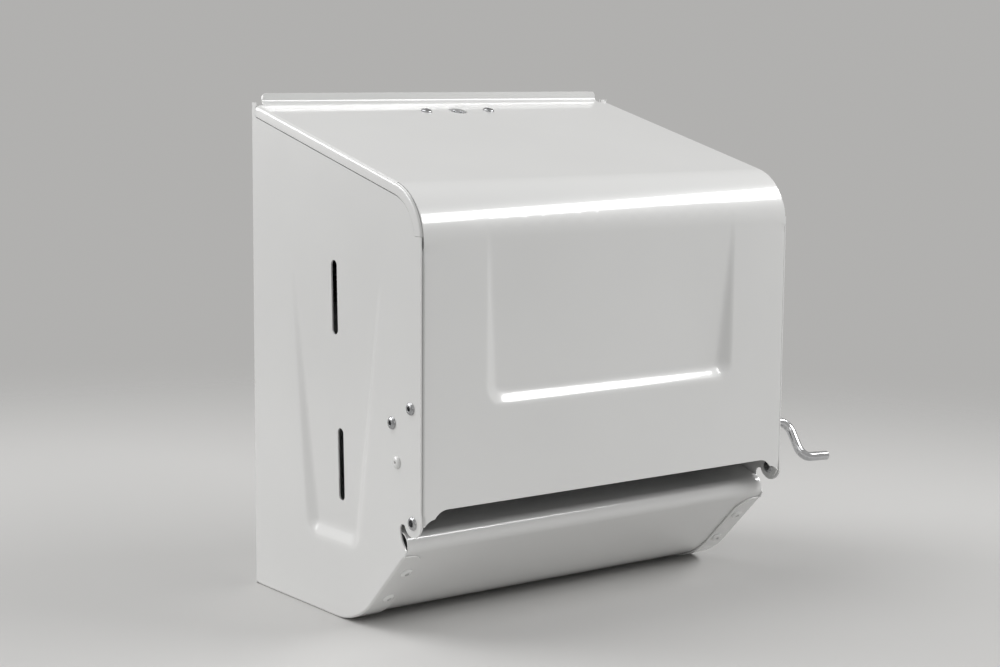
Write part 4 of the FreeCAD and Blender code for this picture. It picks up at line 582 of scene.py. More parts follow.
def cover_line(s):
    """Point behind the front, height, and outward direction at a distance along the line."""
    if s <= AT_SHOULDER:
        return 0.0, LINE_START + s, -1.0, 0.0
    if s <= AT_SLOPE:
        angle = (s - AT_SHOULDER) / SHOULDER
        return (SHOULDER * (1 - math.cos(angle)), bend_z + SHOULDER * math.sin(angle),
                -math.cos(angle), math.sin(angle))
    run = min(s, AT_BEND) - AT_SLOPE
    y = slope_start[0] + run * math.cos(TOP_SLOPE)
    z = slope_start[1] + run * math.sin(TOP_SLOPE)
    out = (-math.sin(TOP_SLOPE), math.cos(TOP_SLOPE))
    if s <= AT_BEND:
        return y, z, *out
    angle = TOP_SLOPE + min(s - AT_BEND, lip_arc) / LIP_BEND
    centre = (y + LIP_BEND * out[0], z + LIP_BEND * out[1])
    y = centre[0] + LIP_BEND * math.sin(angle)
    z = centre[1] - LIP_BEND * math.cos(angle)
    if s > AT_LIP:
        z += s - AT_LIP
    return y, z, -math.sin(angle), math.cos(angle)


# %% The cover's folds and pressing
BAND = 7.2
BAND_FOLD = 2.2
FLANGE = 5.5
FLANGE_FOLD = 1.2
FOLD_CHANGE = 3.0
FRONT_PRESS = {"half": 98.5, "top": 245.0, "low": 141.4, "wall": 9.5, "low_wall": 8.3, "depth": 4.9,
               "round": 12.0, "soft": 0.4, "run_on": 30.0, "change": 6.0}
PRESS_END = AT_SHOULDER + 8.0


def cover_fold(s):
    """Half width and fold radius at a distance along the line."""
    part = min(1.0, max(0.0, (s - (AT_SHOULDER - FOLD_CHANGE)) / FOLD_CHANGE))
    part = part * part * (3 - 2 * part)
    return COVER_EDGE + (HALF_WIDTH - COVER_EDGE) * part, FLANGE_FOLD + (BAND_FOLD - FLANGE_FOLD) * part


def front_press(x, z):
    """How far the front is pressed in at a point."""
    press = FRONT_PRESS
    half, low, change = press["half"], press["low"], press["change"]
    limit = press["depth"] * (press["top"] - z) / (press["top"] - low)
    over = press["top"] + press["run_on"]
    rim = [(-half, low), (half, low), (half, over), (-half, over)]
    low_part = max(0.0, min(1.0, (low + press["round"] + change - z) / change))
    side_part = max(0.0, min(1.0, (abs(x) - half + press["round"] + change) / change))
    wall = press["wall"] + (press["low_wall"] - press["wall"]) * low_part * (1 - side_part)
    inward = inside_distance(x, z, rim, press["round"])
    return max(0.0, pressing(inward, wall, press["depth"], limit, press["soft"]))


def place_cover(u, s):
    """Carries a point of the flat cover to its place."""
    y, z, out_y, out_z = cover_line(s)
    half, radius = cover_fold(s)
    side, reach = math.copysign(1.0, u), abs(u)
    flat = half - radius
    x, sunk = reach, 0.0
    if reach > flat + radius * math.pi / 2:
        x, sunk = half, radius + reach - flat - radius * math.pi / 2
    elif reach > flat:
        angle = (reach - flat) / radius
        x, sunk = flat + radius * math.sin(angle), radius * (1 - math.cos(angle))
    y, z = y - out_y * sunk, z - out_z * sunk
    if s < PRESS_END and sunk == 0.0:
        y += front_press(side * x, z)
    return side * x, y - DEPTH, z


print("front pressing", round(front_press(0, FRONT_PRESS["low"] + FRONT_PRESS["low_wall"] + 4), 1), "mm deep")

# %% The cover's flat outline
COVER_LOW = 83.2
TONGUE_LOW = 244.5
TONGUE_DROP = 1.0
HINGE = (8.9, 75.4)
EAR = 7.4
EAR_START = 0.2
COVE = {"straight": 18.4, "cusp": 8.3, "cusp_z": 78.3, "toe": 1.0, "foot_z": 74.4, "sag": 1.5, "toe_sag": 0.9}
LIP_INSET = 7.4
LIP_ROUND = 3.0
REAR_CUT = DEPTH - 6.8
BAND_ROOT = 0.5
PIN_HOLE = 2.7
RIVET_HOLE = 2.1
LOCK_HOLE = 6.4
LOCK_AHEAD = 24.5
LOCK_RIVET = 25.75
flange_zero = COVER_EDGE - FLANGE_FOLD + FLANGE_FOLD * math.pi / 2 - FLANGE_FOLD


def on_band(depth):
    """Drawing coordinate of a point on the band at a depth below the top."""
    return HALF_WIDTH - BAND_FOLD + BAND_FOLD * math.pi / 2 + depth - BAND_FOLD


def on_edge(x):
    """Drawing coordinate of a point on the band's fold that lies at a half width."""
    return HALF_WIDTH - BAND_FOLD + BAND_FOLD * math.asin((x - HALF_WIDTH + BAND_FOLD) / BAND_FOLD)


def sagged(first, last, sag, count):
    """Arc between two points that bulges to the left of its way."""
    mid = ((first[0] + last[0]) / 2, (first[1] + last[1]) / 2)
    length = math.hypot(last[0] - first[0], last[1] - first[1])
    side = (-(last[1] - first[1]) / length, (last[0] - first[0]) / length)
    return arc_points(first, (mid[0] + sag * side[0], mid[1] + sag * side[1]), last, count)


def cove_and_ear():
    """Lower edge from its middle, the cove's two arcs, and the round ear on the flange."""
    straight = (COVER_EDGE - COVE["straight"], COVER_LOW - LINE_START)
    cusp = (COVER_EDGE - COVE["cusp"], COVE["cusp_z"] - LINE_START)
    foot = (COVER_EDGE - COVE["toe"], COVE["foot_z"] - LINE_START)
    points = path_points([(0.0, COVER_LOW - LINE_START), straight], 12.0)
    points += sagged(straight, cusp, COVE["sag"], 8) + sagged(cusp, foot, COVE["toe_sag"], 8)
    middle = (flange_zero + HINGE[0], HINGE[1] - LINE_START)
    rise = math.sqrt(EAR**2 - (HINGE[0] - FLANGE) ** 2)
    low = math.pi + math.asin((HINGE[1] - COVE["foot_z"] + EAR_START) / EAR)
    high = math.atan2(rise, FLANGE - HINGE[0]) + 2 * math.pi
    turns = steps(low, high, 0.2)
    return points + [(middle[0] + EAR * math.cos(a), middle[1] + EAR * math.sin(a)) for a in turns]


def cover_right_side():
    """Right half of the flat outline, from the lower edge's middle to the lip's middle."""
    points = cove_and_ear()
    skin, inner, outer = on_edge(COVER_EDGE), on_edge(HALF_WIDTH - GAUGE), on_band(BAND)
    fold_start = AT_SHOULDER - FOLD_CHANGE
    tongue_end = AT_SHOULDER + SHOULDER * math.asin((TONGUE_LOW - bend_z) / SHOULDER)
    rear = AT_SLOPE + (REAR_CUT - slope_start[0]) / math.cos(TOP_SLOPE)
    lip = HALF_WIDTH - LIP_INSET
    walk(points, 8.0, (flange_zero + FLANGE, fold_start - FLANGE))
    walk(points, 2.0, (skin, fold_start))
    walk(points, 1.5, (skin, AT_SLOPE))
    points.append((inner, AT_SLOPE))
    walk(points, 1.5, (inner, tongue_end), (outer, tongue_end + TONGUE_DROP))
    walk(points, 1.5, (outer, AT_SLOPE))
    walk(points, 10.0, (outer, rear))
    walk(points, 1.5, (on_band(BAND_ROOT), rear), (lip, rear), (lip, AT_BEND), (lip, AT_LIP))
    points.append((lip, AT_END - LIP_ROUND))
    points += corner_points((lip, AT_END - LIP_ROUND), (lip, AT_END), (lip - LIP_ROUND, AT_END), 6)
    walk(points, 12.0, (0.0, AT_END))
    return points


def cover_holes():
    """Pin holes in the ears, lock hole and rivet holes in the top."""
    ear_u, ear_s = flange_zero + HINGE[0], HINGE[1] - LINE_START
    lock_s = AT_SLOPE + (DEPTH - LOCK_AHEAD - slope_start[0]) / math.cos(TOP_SLOPE)
    ears = [ring(side * ear_u, ear_s, PIN_HOLE, 20) for side in (1, -1)]
    rivets = [ring(side * LOCK_RIVET, lock_s, RIVET_HOLE, 16) for side in (1, -1)]
    return ears + [ring(0.0, lock_s, LOCK_HOLE, 40)] + rivets


def cover_filling():
    """Rows along the bends, columns along the folds and a fine net over the pressing."""
    press = FRONT_PRESS
    columns = set(steps(-140, 140, 14.0))
    for fold_at, radius in ((COVER_EDGE - FLANGE_FOLD, FLANGE_FOLD), (HALF_WIDTH - BAND_FOLD, BAND_FOLD)):
        for value in steps(fold_at, fold_at + radius * math.pi / 2, radius * 0.2):
            columns |= {value, -value}
    rows = set(steps(0, AT_SHOULDER, 7.0)) | set(steps(AT_SHOULDER, AT_SLOPE, 1.5))
    rows |= set(steps(AT_SLOPE, AT_BEND, 8.0)) | set(steps(AT_LIP, AT_END, 2.0))
    rows |= {AT_SHOULDER - 1.5, AT_SLOPE + 1.5}
    bend_rows = [AT_BEND - 0.8] + steps(AT_BEND, AT_LIP, 0.35) + [AT_LIP + 0.6]
    net_low, net_high = press["low"] - LINE_START - 5, press["top"] - LINE_START + 3
    coarse = [(u, s) for u in columns for s in rows
              if not (abs(u) < press["half"] + 6 and net_low - 1 < s < net_high + 1)]
    fine = [(u, s) for u in steps(-press["half"] - 5, press["half"] + 5, 1.7)
            for s in steps(net_low, net_high, 1.7)]
    bend = [(u, s) for u in steps(-140, 140, 2.0) for s in bend_rows]
    return coarse + fine + bend


right_side = cover_right_side()
cover_outline = right_side + [(-u, s) for u, s in reversed(right_side) if abs(u) > 1e-6]
cover_drawing = fill_drawing(cover_outline, cover_holes(), cover_filling())
cover_sheet = thicken(sheet_object("cover_sheet", [(cover_drawing, place_cover, False)]))
print("cover", len(cover_drawing[0]), "points", len(cover_drawing[1]), "triangles")

# %% [markdown]
# ## Cabinet
# The back and the two sides are one sheet too. Each side has a tall pressing, two slots,
# a round ear over the hinge pin and, behind it, a hook-shaped notch. Along the slanted
# front and the bottom the sheet turns in as a flange that carries the tray. Cutting holes
# with booleans would leave ragged edges in a thin wall, so the holes are part of the flat
# drawing. The flange follows a curved line, so it is drawn on its own and welded to the
# side along the fold.

# %% Outline of a side
SIDE_PRESS = {"top": 226.0, "low": 46.8, "rear": (145.2, 126.8), "front": (40.6, 66.7), "wall": 10.5,
              "depth": 3.6, "round": 12.0, "soft": 0.4, "run_on": 40.0}
FOLD = 1.7
BESIDE = 0.8
SLANT_TOP = (17.9, 52.7)
SLANT = math.radians(45.7)
KEEL = 59.0
LOWER_FLANGE = 17.0
REAR_STRIP = 6.2
SEAM = 0.55
TIGHT_SEAM = 0.12
SEAM_CHANGE = 0.55
EAR_OUTER = 8.6
NOTCH = {"rear_y": 22.2, "top_z": 72.6, "low_z": 60.5, "crown": 0.1, "belly": 1.4, "belly_drop": 2.2,
         "hook": 1.2}
TIP = (15.9, 56.6)
SETBACK = 0.9


def lower_line():
    """Points of the slanted front, keel bend and bottom, each with its inward direction."""
    corner_y = SLANT_TOP[0] + SLANT_TOP[1] / math.tan(SLANT)
    reach = KEEL * math.tan(SLANT / 2)
    start = (corner_y - reach * math.cos(SLANT), reach * math.sin(SLANT))
    slanted = [SLANT_TOP] + path_points([SLANT_TOP, start], 6.0)
    inward = (math.sin(SLANT), math.cos(SLANT))
    line = [(point, inward) for point in slanted]
    centre = (corner_y + reach, KEEL)
    for angle in steps(SLANT, 0.0, 0.035)[1:]:
        line.append(((centre[0] - KEEL * math.sin(angle), centre[1] - KEEL * math.cos(angle)),
                     (math.sin(angle), math.cos(angle))))
    flat = path_points([(corner_y + reach, 0.0), (DEPTH - FOLD, 0.0)], 8.0)
    return line + [(point, (0.0, 1.0)) for point in flat]


LOWER = lower_line()


def ear_and_notch():
    """Round ear over the hinge pin, and the hook-shaped notch behind it."""
    front = (HINGE[0] - EAR_OUTER, HINGE[1])
    cusp_angle = math.asin((NOTCH["top_z"] - HINGE[1]) / EAR_OUTER)
    cusp = (HINGE[0] + EAR_OUTER * math.cos(cusp_angle), NOTCH["top_z"])
    under = math.pi + (math.pi + cusp_angle) / 2
    lowest = (HINGE[0] + EAR_OUTER * math.cos(under), HINGE[1] + EAR_OUTER * math.sin(under))
    wide = NOTCH["rear_y"] - cusp[0]
    crown = ((cusp[0] + NOTCH["rear_y"]) / 2, NOTCH["top_z"] + wide * NOTCH["crown"])
    rear = (NOTCH["rear_y"], NOTCH["top_z"] - wide / 2)
    belly = (NOTCH["rear_y"] - NOTCH["belly"], (NOTCH["top_z"] + NOTCH["low_z"]) / 2 - NOTCH["belly_drop"])
    hook = (TIP[0] + NOTCH["hook"], NOTCH["low_z"] - NOTCH["hook"])
    points = [front] + arc_points(front, lowest, cusp, 18)
    return points + arc_points(cusp, crown, rear, 6) + arc_points(rear, belly, hook, 8) + [TIP, SLANT_TOP]


def side_outline():
    """Side seen from the left, counted from the front, from the lower front round to the rear."""
    points = [(y + FOLD * iy, z + FOLD * iz) for (y, z), (iy, iz) in LOWER]
    walk(points, 8.0, (DEPTH - FOLD, REAR_HEIGHT))
    strip = DEPTH - REAR_STRIP
    under_band = (BAND + SEAM) / math.cos(TOP_SLOPE)
    points += [(strip, REAR_HEIGHT), (strip, top_line(strip) - under_band)]
    bend = SHOULDER - BAND
    edge = (SHOULDER - bend * math.cos(turn_angle), bend_z + bend * math.sin(turn_angle))
    walk(points, 10.0, (edge[0] + SEAM * math.sin(TOP_SLOPE), edge[1] - SEAM * math.cos(TOP_SLOPE)))
    shelf = TONGUE_LOW - TIGHT_SEAM
    for angle in steps(turn_angle, math.asin((shelf - bend_z) / bend), 0.05)[1:]:
        part = min(1.0, (turn_angle - angle) / SEAM_CHANGE)
        radius = bend - (SEAM + (TIGHT_SEAM - SEAM) * part)
        points.append((SHOULDER - radius * math.cos(angle), bend_z + radius * math.sin(angle)))
    points += [(points[-1][0], shelf), (SETBACK, shelf)]
    walk(points, 12.0, (SETBACK, HINGE[1] + EAR_OUTER))
    return points + ear_and_notch()


side_shape = side_outline()
print("side outline", len(side_shape), "points, lower line", len(LOWER))

# %% Holes and pressing of a side
SLOT_WIDTH = 6.5
SLOTS = ((94.4, 200.5, 46.0), (90.6, 96.8, 45.5))
BRACKET_RIVETS = ((11.2, 143.4), (30.6, 132.2))
POP_RIVET = (25.3, 109.3)
LEVER_AXIS = (32.2, 99.0)
BUSH_HOLE = 5.45


def slot_hole(y, z, length):
    """Upright slot with round ends."""
    half, rise = SLOT_WIDTH / 2, (length - SLOT_WIDTH) / 2
    points = [(y + half * math.cos(a), z + rise + half * math.sin(a)) for a in steps(0, math.pi, 0.2)]
    return points + [(y - half * math.cos(a), z - rise - half * math.sin(a)) for a in steps(0, math.pi, 0.2)]


side_holes = [slot_hole(*slot) for slot in SLOTS] + [ring(*HINGE, PIN_HOLE, 20)]
side_holes += [ring(*place, RIVET_HOLE, 16) for place in (*BRACKET_RIVETS, POP_RIVET)]
lever_hole = ring(*LEVER_AXIS, BUSH_HOLE, 24)


def side_press(y, z):
    """How far a side is pressed in at a point."""
    press = SIDE_PRESS
    span, over = press["top"] - press["low"], press["run_on"]
    limit = press["depth"] * (press["top"] - z) / span
    lean_rear = (press["rear"][0] - press["rear"][1]) / span * over
    lean_front = (press["front"][0] - press["front"][1]) / span * over
    top = press["top"] + over
    rim = [(press["front"][1], press["low"]), (press["rear"][1], press["low"]),
           (press["rear"][0] + lean_rear, top), (press["front"][0] + lean_front, top)]
    inward = inside_distance(y, z, rim, press["round"])
    return max(0.0, pressing(inward, press["wall"], press["depth"], limit, press["soft"]))


def place_side(hand):
    """Rule that stands a flat side at the left (-1) or right (1)."""
    def place(y, z):
        return hand * (HALF_WIDTH - side_press(y, z)), y - DEPTH, z
    return place


def side_filling():
    """Fine net over the pressing, a coarse one elsewhere, and a row close beside each fold."""
    press = SIDE_PRESS
    net_y, net_z = (press["front"][0] - 5, press["rear"][0] + 5), (press["low"] - 5, press["top"] + 3)
    fine = [(y, z) for y in steps(*net_y, 1.8) for z in steps(*net_z, 1.8)]
    coarse = [(y, z) for y in steps(6, DEPTH - 6, 9.0) for z in steps(6, REAR_HEIGHT, 9.0)
              if not (net_y[0] - 2 < y < net_y[1] + 2 and net_z[0] - 2 < z < net_z[1] + 2)]
    inset = FOLD + BESIDE
    beside = [(y + inset * iy, z + inset * iz) for (y, z), (iy, iz) in LOWER]
    beside += [(DEPTH - inset, z) for z in steps(inset, REAR_HEIGHT - BESIDE, 8.0)]
    return fine + coarse + beside


print("side", len(side_holes), "holes, pressing", round(side_press(95, 62), 1), "mm deep")

# %% Fold and flange along the lower line
RIVET_IN = 10.2
RIVET_DOWN = (18.0, 45.5)
FLANGE_ROUND = 12.0
fold_arc = FOLD * math.pi / 2
lower_points = [point for point, _ in LOWER]
lower_marks = marks_along(lower_points)


def place_flange(hand):
    """Rule for the fold and flange: across from the side's face, and down the lower line."""
    def place(across, distance):
        (y, z), run = point_along(lower_points, lower_marks, distance)
        iy, iz = LOWER[run][1]
        if across < fold_arc:
            angle = across / FOLD
            up, in_ = FOLD * (1 - math.sin(angle)), FOLD * (1 - math.cos(angle))
        else:
            up, in_ = 0.0, FOLD + across - fold_arc
        return hand * (HALF_WIDTH - in_), y + up * iy - DEPTH, z + up * iz
    return place


def flange_drawing():
    """Flat fold and flange with a round upper corner and two rivet holes."""
    end = LOWER_FLANGE - FOLD + fold_arc
    corner = FLANGE_ROUND
    outline = [(0.0, value) for value in reversed(lower_marks)]
    outline += path_points([(0.0, 0.0), (end - corner, 0.0)], 1.0)
    outline += corner_points((end - corner, 0.0), (end, 0.0), (end, corner), 12)
    outline += [(end, value) for value in lower_marks if value > corner + 1]
    outline += path_points([(end, lower_marks[-1]), (0.0, lower_marks[-1])], 2.0)[:-1]
    holes = [ring(RIVET_IN - FOLD + fold_arc, down, RIVET_HOLE, 16) for down in RIVET_DOWN]
    filling = [(u, value) for u in steps(0, fold_arc, 0.3)[1:] for value in lower_marks]
    return fill_drawing(outline, holes, filling, margin=0.15)


flange_flat = flange_drawing()
print("lower line", round(lower_marks[-1], 1), "mm long, flange", len(flange_flat[1]), "triangles")

# %% Back with its upper fold
BACK_FOLD = 1.8
BACK_TOP = 311.5
BACK_RETURN = 9.0
BACK_RELIEF = 144.5
SLIT = 0.5
WALL_HOLE = 3.25
WALL_HOLES = [(side * 89.0, z) for side in (-1, 1) for z in (62.0, 252.0)]
ARM_RIVETS = [(side * 125.2, z) for side in (-1, 1) for z in (196.0, 214.0)]
STRIKE_RIVETS = [(side * 8.0, 288.0) for side in (-1, 1)]
fold_line = BACK_TOP - BACK_FOLD
side_rows = [z for y, z in side_shape if abs(y - (DEPTH - FOLD)) < 1e-6]


def place_back(u, s):
    """Back: folds forward into the sides at its edges and forward at the top."""
    side, reach = math.copysign(1.0, u), abs(u)
    flat = HALF_WIDTH - FOLD
    x, ahead = reach, 0.0
    if reach > flat:
        angle = min((reach - flat) / FOLD, math.pi / 2)
        x, ahead = flat + FOLD * math.sin(angle), FOLD * (1 - math.cos(angle))
    z = s
    if reach < BACK_RELIEF - 0.2 and s > fold_line:
        run = s - fold_line
        angle = min(run / BACK_FOLD, math.pi / 2)
        z = fold_line + BACK_FOLD * math.sin(angle)
        ahead += BACK_FOLD * (1 - math.cos(angle)) + max(0.0, run - BACK_FOLD * math.pi / 2)
    return side * x, -ahead, z


def back_drawing():
    """Flat back with wall holes, rivet holes and slits beside the upper fold."""
    flat, edge = HALF_WIDTH - FOLD, HALF_WIDTH - FOLD + fold_arc
    top = fold_line + BACK_FOLD * math.pi / 2 + BACK_RETURN - BACK_FOLD
    relief, inner = fold_line - SLIT, BACK_RELIEF - SLIT
    right = path_points([(0.0, 0.0), (flat, 0.0)], 14.0) + path_points([(flat, 0.0), (edge, 0.0)], 0.3)
    right += [(edge, value) for value in side_rows]
    right += path_points([(edge, REAR_HEIGHT), (BACK_RELIEF, REAR_HEIGHT)], 0.4)
    right += [(BACK_RELIEF, relief), (inner, relief)]
    right += path_points([(inner, relief), (inner, top)], 0.5)
    right += path_points([(inner, top), (0.0, top)], 14.0)
    outline = right + [(-u, s) for u, s in reversed(right) if abs(u) > 1e-6]
    holes = [ring(*place, WALL_HOLE, 28) for place in WALL_HOLES]
    holes += [ring(*place, RIVET_HOLE, 16) for place in ARM_RIVETS + STRIKE_RIVETS]
    columns = steps(-140, 140, 20.0) + [side * u for side in (-1, 1) for u in steps(flat, edge, 0.3)]
    rows = steps(0, fold_line, 8.0) + steps(fold_line, fold_line + fold_arc, 0.35)
    return fill_drawing(outline, holes, [(u, s) for u in columns for s in rows + side_rows], margin=0.12)


left_drawing = fill_drawing(side_shape, side_holes, side_filling())
right_drawing = fill_drawing(side_shape, side_holes + [lever_hole], side_filling())
cabinet_sheet = thicken(sheet_object("cabinet_sheet", [
    (left_drawing, place_side(-1), True),
    (right_drawing, place_side(1), False),
    (flange_flat, place_flange(-1), True),
    (flange_flat, place_flange(1), False),
    (back_drawing(), place_back, True),
]))
print("cabinet", len(cabinet_sheet.data.vertices), "points", len(cabinet_sheet.data.polygons), "triangles")

# %% [markdown]
# ## Discharge tray
# The tray is one more bent sheet, as wide as the inside of the cabinet. The paper slides
# out over its upper leg, round a rolled nose, and the sheet runs on down the slanted front
# and under the bottom to the back. It could be a box with bevelled edges, but the nose and
# the keel have different bends, so the line with its round corners is worked out once and
# the flat sheet is carried along it.

# %% A line with round corners
def round_line(corners, pitch):
    """Points along straight runs and round corners, given as (y, z, radius)."""
    line = [corners[0][:2]]
    for (ya, za, _), (yb, zb, radius), (yc, zc, _) in zip(corners, corners[1:], corners[2:]):
        before, after = Vector((ya - yb, za - zb)).normalized(), Vector((yc - yb, zc - zb)).normalized()
        half = math.acos(max(-1.0, min(1.0, before.dot(after)))) / 2
        reach = radius / math.tan(half)
        centre = Vector((yb, zb)) + (before + after).normalized() * (radius / math.sin(half))
        start, stop = Vector((yb, zb)) + before * reach, Vector((yb, zb)) + after * reach
        middle = centre - (before + after).normalized() * radius
        line += path_points([line[-1], tuple(start)], pitch)
        count = max(4, round((math.pi - 2 * half) / 0.12))
        line += arc_points(tuple(start), tuple(middle), tuple(stop), count)
    return line + path_points([line[-1], corners[-1][:2]], pitch)


bent = round_line([(0, 0, 0), (9, 0, 3), (9, 9, 0)], 5.0)
print("two 9 mm runs with a 3 mm bend take", len(bent), "points")

# %% The tray's line, outline and holes
TRAY_SEAT = 1.2
TRAY_HALF = 144.6
TRAY_REAR_GAP = 0.4
NOSE = 8.0
CHUTE = (58.0, 80.0)
CHUTE_ANGLE = math.radians(18.5)
TRAY_FLANGE = 9.0
TRAY_BEND = 1.8
RIVET_ACROSS = HALF_WIDTH - RIVET_IN


def tray_line():
    """Outer face of the tray, from the rear of its upper leg round to the rear flange."""
    start = (SLANT_TOP[0] + TRAY_SEAT * math.sin(SLANT), SLANT_TOP[1] + TRAY_SEAT * math.cos(SLANT))
    rise, fall = math.tan(CHUTE_ANGLE), -math.tan(SLANT)
    nose_y = (start[1] - fall * start[0] - CHUTE[1] + rise * CHUTE[0]) / (rise - fall)
    nose_z = CHUTE[1] - (CHUTE[0] - nose_y) * rise
    lower_y = start[0] + (start[1] - TRAY_SEAT) / math.tan(SLANT)
    rear = DEPTH - GAUGE - TRAY_REAR_GAP
    return round_line([(*CHUTE, 0), (nose_y, nose_z, NOSE), (lower_y, TRAY_SEAT, KEEL - TRAY_SEAT),
                       (rear, TRAY_SEAT, TRAY_BEND), (rear, TRAY_SEAT + TRAY_FLANGE, 0)], 7.0)


tray_run = tray_line()
tray_marks = marks_along(tray_run)


def tray_point(s):
    """Point behind the front and height at a distance along the tray's line."""
    return point_along(tray_run, tray_marks, s)[0]


def tray_distance(y, z):
    """Distance along the tray's line of the point nearest to a place."""
    nearest = min(range(len(tray_run)), key=lambda k: math.hypot(tray_run[k][0] - y, tray_run[k][1] - z))
    around = steps(tray_marks[nearest] - 8, tray_marks[nearest] + 8, 0.05)
    return min(around, key=lambda s: math.hypot(tray_point(s)[0] - y, tray_point(s)[1] - z))


def place_tray(u, s):
    """Carries a point of the flat tray to its place."""
    y, z = tray_point(s)
    return u, y - DEPTH, z


def slant_point(down):
    """Place of a tray rivet, by its distance down the slanted front."""
    return SLANT_TOP[0] + down * math.cos(SLANT), SLANT_TOP[1] - down * math.sin(SLANT)


def tray_drawing():
    """Flat tray with its four rivet holes."""
    between = tray_marks[1:-1]
    outline = [(u, 0.0) for u in steps(-TRAY_HALF, TRAY_HALF, 14.0)]
    outline += [(TRAY_HALF, mark) for mark in tray_marks[1:]]
    outline += [(u, tray_marks[-1]) for u in steps(TRAY_HALF, -TRAY_HALF, 14.0)[1:]]
    outline += [(-TRAY_HALF, mark) for mark in reversed(between)]
    holes = []
    for down in RIVET_DOWN:
        s = tray_distance(*slant_point(down))
        holes += [ring(side * RIVET_ACROSS, s, RIVET_HOLE, 16) for side in (-1, 1)]
    filling = [(u, mark) for u in steps(-TRAY_HALF, TRAY_HALF, 12.0)[1:-1] for mark in between]
    return fill_drawing(outline, holes, filling)


tray_sheet = thicken(sheet_object("tray_sheet", [(tray_drawing(), place_tray, True)]))
print("tray", round(tray_marks[-1], 1), "mm round,", len(tray_sheet.data.polygons), "triangles")

# %% Sheets take their places
for piece, node, body in ((cover_sheet, "front_cover", "cover"), (cabinet_sheet, "cabinet_shell", "cabinet"),
                          (tray_sheet, "discharge_tray", "cabinet")):
    piece.data.materials.append(finishes["white_enamel"])
    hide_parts(node)
    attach(piece, body)
print("three bent sheets stand for their packed nodes")

# %% [markdown]
# ## Rivets
# The real rivets are small turned pieces: a domed head with a hollow middle outside, a
# shank through the sheets and a rolled tail inside. Cylinders would do from afar, but the
# eye in each head catches the light. So one is turned from its half section, and Geometry
# Nodes set a copy on each place, aimed along an arrow stored with the place and turned at
# random about itself, as rivets are when they are set by hand.

# %% A turned piece
RIVET_ROUND = 0.12
SEAT = 0.05


def turned_piece(name, section, sides):
    """Mesh turned about Z from a half section of (radius, height) in millimetres."""
    shape = bmesh.new()
    rings = []
    for radius, height in section:
        points = ring(0.0, 0.0, radius, sides) if radius > 1e-6 else [(0.0, 0.0)]
        rings.append([shape.verts.new((MM * x, MM * y, MM * height)) for x, y in points])
    for low, high in zip(rings, rings[1:]):
        for k in range(sides):
            after = (k + 1) % sides
            corners = [low[k % len(low)], low[after % len(low)], high[after % len(high)], high[k % len(high)]]
            shape.faces.new(list(dict.fromkeys(corners)))
    bmesh.ops.remove_doubles(shape, verts=shape.verts, dist=1e-7)
    for face in shape.faces:
        face.smooth = True
    bmesh.ops.recalc_face_normals(shape, faces=shape.faces)
    mesh = bpy.data.meshes.new(name)
    shape.to_mesh(mesh)
    shape.free()
    return mesh


def rounded(section, radius):
    """Half section with each corner broken by a small round."""
    points = [section[0]]
    for before, corner, after in zip(section, section[1:], section[2:]):
        a, b, c = Vector(before), Vector(corner), Vector(after)
        size = min(radius, 0.4 * (a - b).length, 0.4 * (c - b).length)
        first, last = b + (a - b).normalized() * size, b + (c - b).normalized() * size
        points += [tuple(first), tuple((first + last) / 4 + b / 2), tuple(last)]
    return points + [section[-1]]


def rivet_section(shank, head, height, grip, tail, tail_height, eye, eye_depth):
    """Half section of a rivet whose seat is at nought and whose head points up."""
    turns = steps(math.pi / 2, 0.12, 0.16)
    dome = [(eye + (head - eye) * math.cos(a), SEAT + height * math.sin(a)) for a in turns]
    floor = SEAT + height - eye_depth
    upper = [(0.0, floor), (eye * 0.96, floor), (eye, floor + 0.1)] if eye > 0 else []
    below = [(shank, SEAT), (shank, -grip)]
    under = -grip - SEAT
    if tail > 0:
        below += [(tail, under), (tail * 0.85, under - 0.7 * tail_height),
                  (tail * 0.5, under - tail_height), (0.0, under - tail_height)]
    else:
        below.append((0.0, -grip))
    return rounded(upper + dome + [(head, SEAT)] + below, RIVET_ROUND)


print("rivet corners rounded to", RIVET_ROUND, "mm")

# %% A tree that sets copies on places
RANDOM_MAX_INPUT = 3
RANDOM_OUTPUT = 1


def new_tree(name, **inputs):
    """Geometry node tree with named inputs, and its first and last node."""
    tree = bpy.data.node_groups.new(name, "GeometryNodeTree")
    for label, kind in {"Geometry": "Geometry", **inputs, "Finish": "Material"}.items():
        tree.interface.new_socket(label.replace("_", " "), in_out="INPUT", socket_type="NodeSocket" + kind)
    tree.interface.new_socket("Geometry", in_out="OUTPUT", socket_type="NodeSocketGeometry")
    return tree, add_node(tree, "NodeGroupInput"), add_node(tree, "NodeGroupOutput")


def finish_tree(tree, source, output, first, last):
    """Real geometry with its finish at the end of a tree."""
    real = add_node(tree, "GeometryNodeRealizeInstances")
    coat = add_node(tree, "GeometryNodeSetMaterial")
    link_up(tree, (source, output, real, "Geometry"), (real, "Geometry", coat, "Geometry"),
            (first, "Finish", coat, "Material"), (coat, "Geometry", last, "Geometry"))


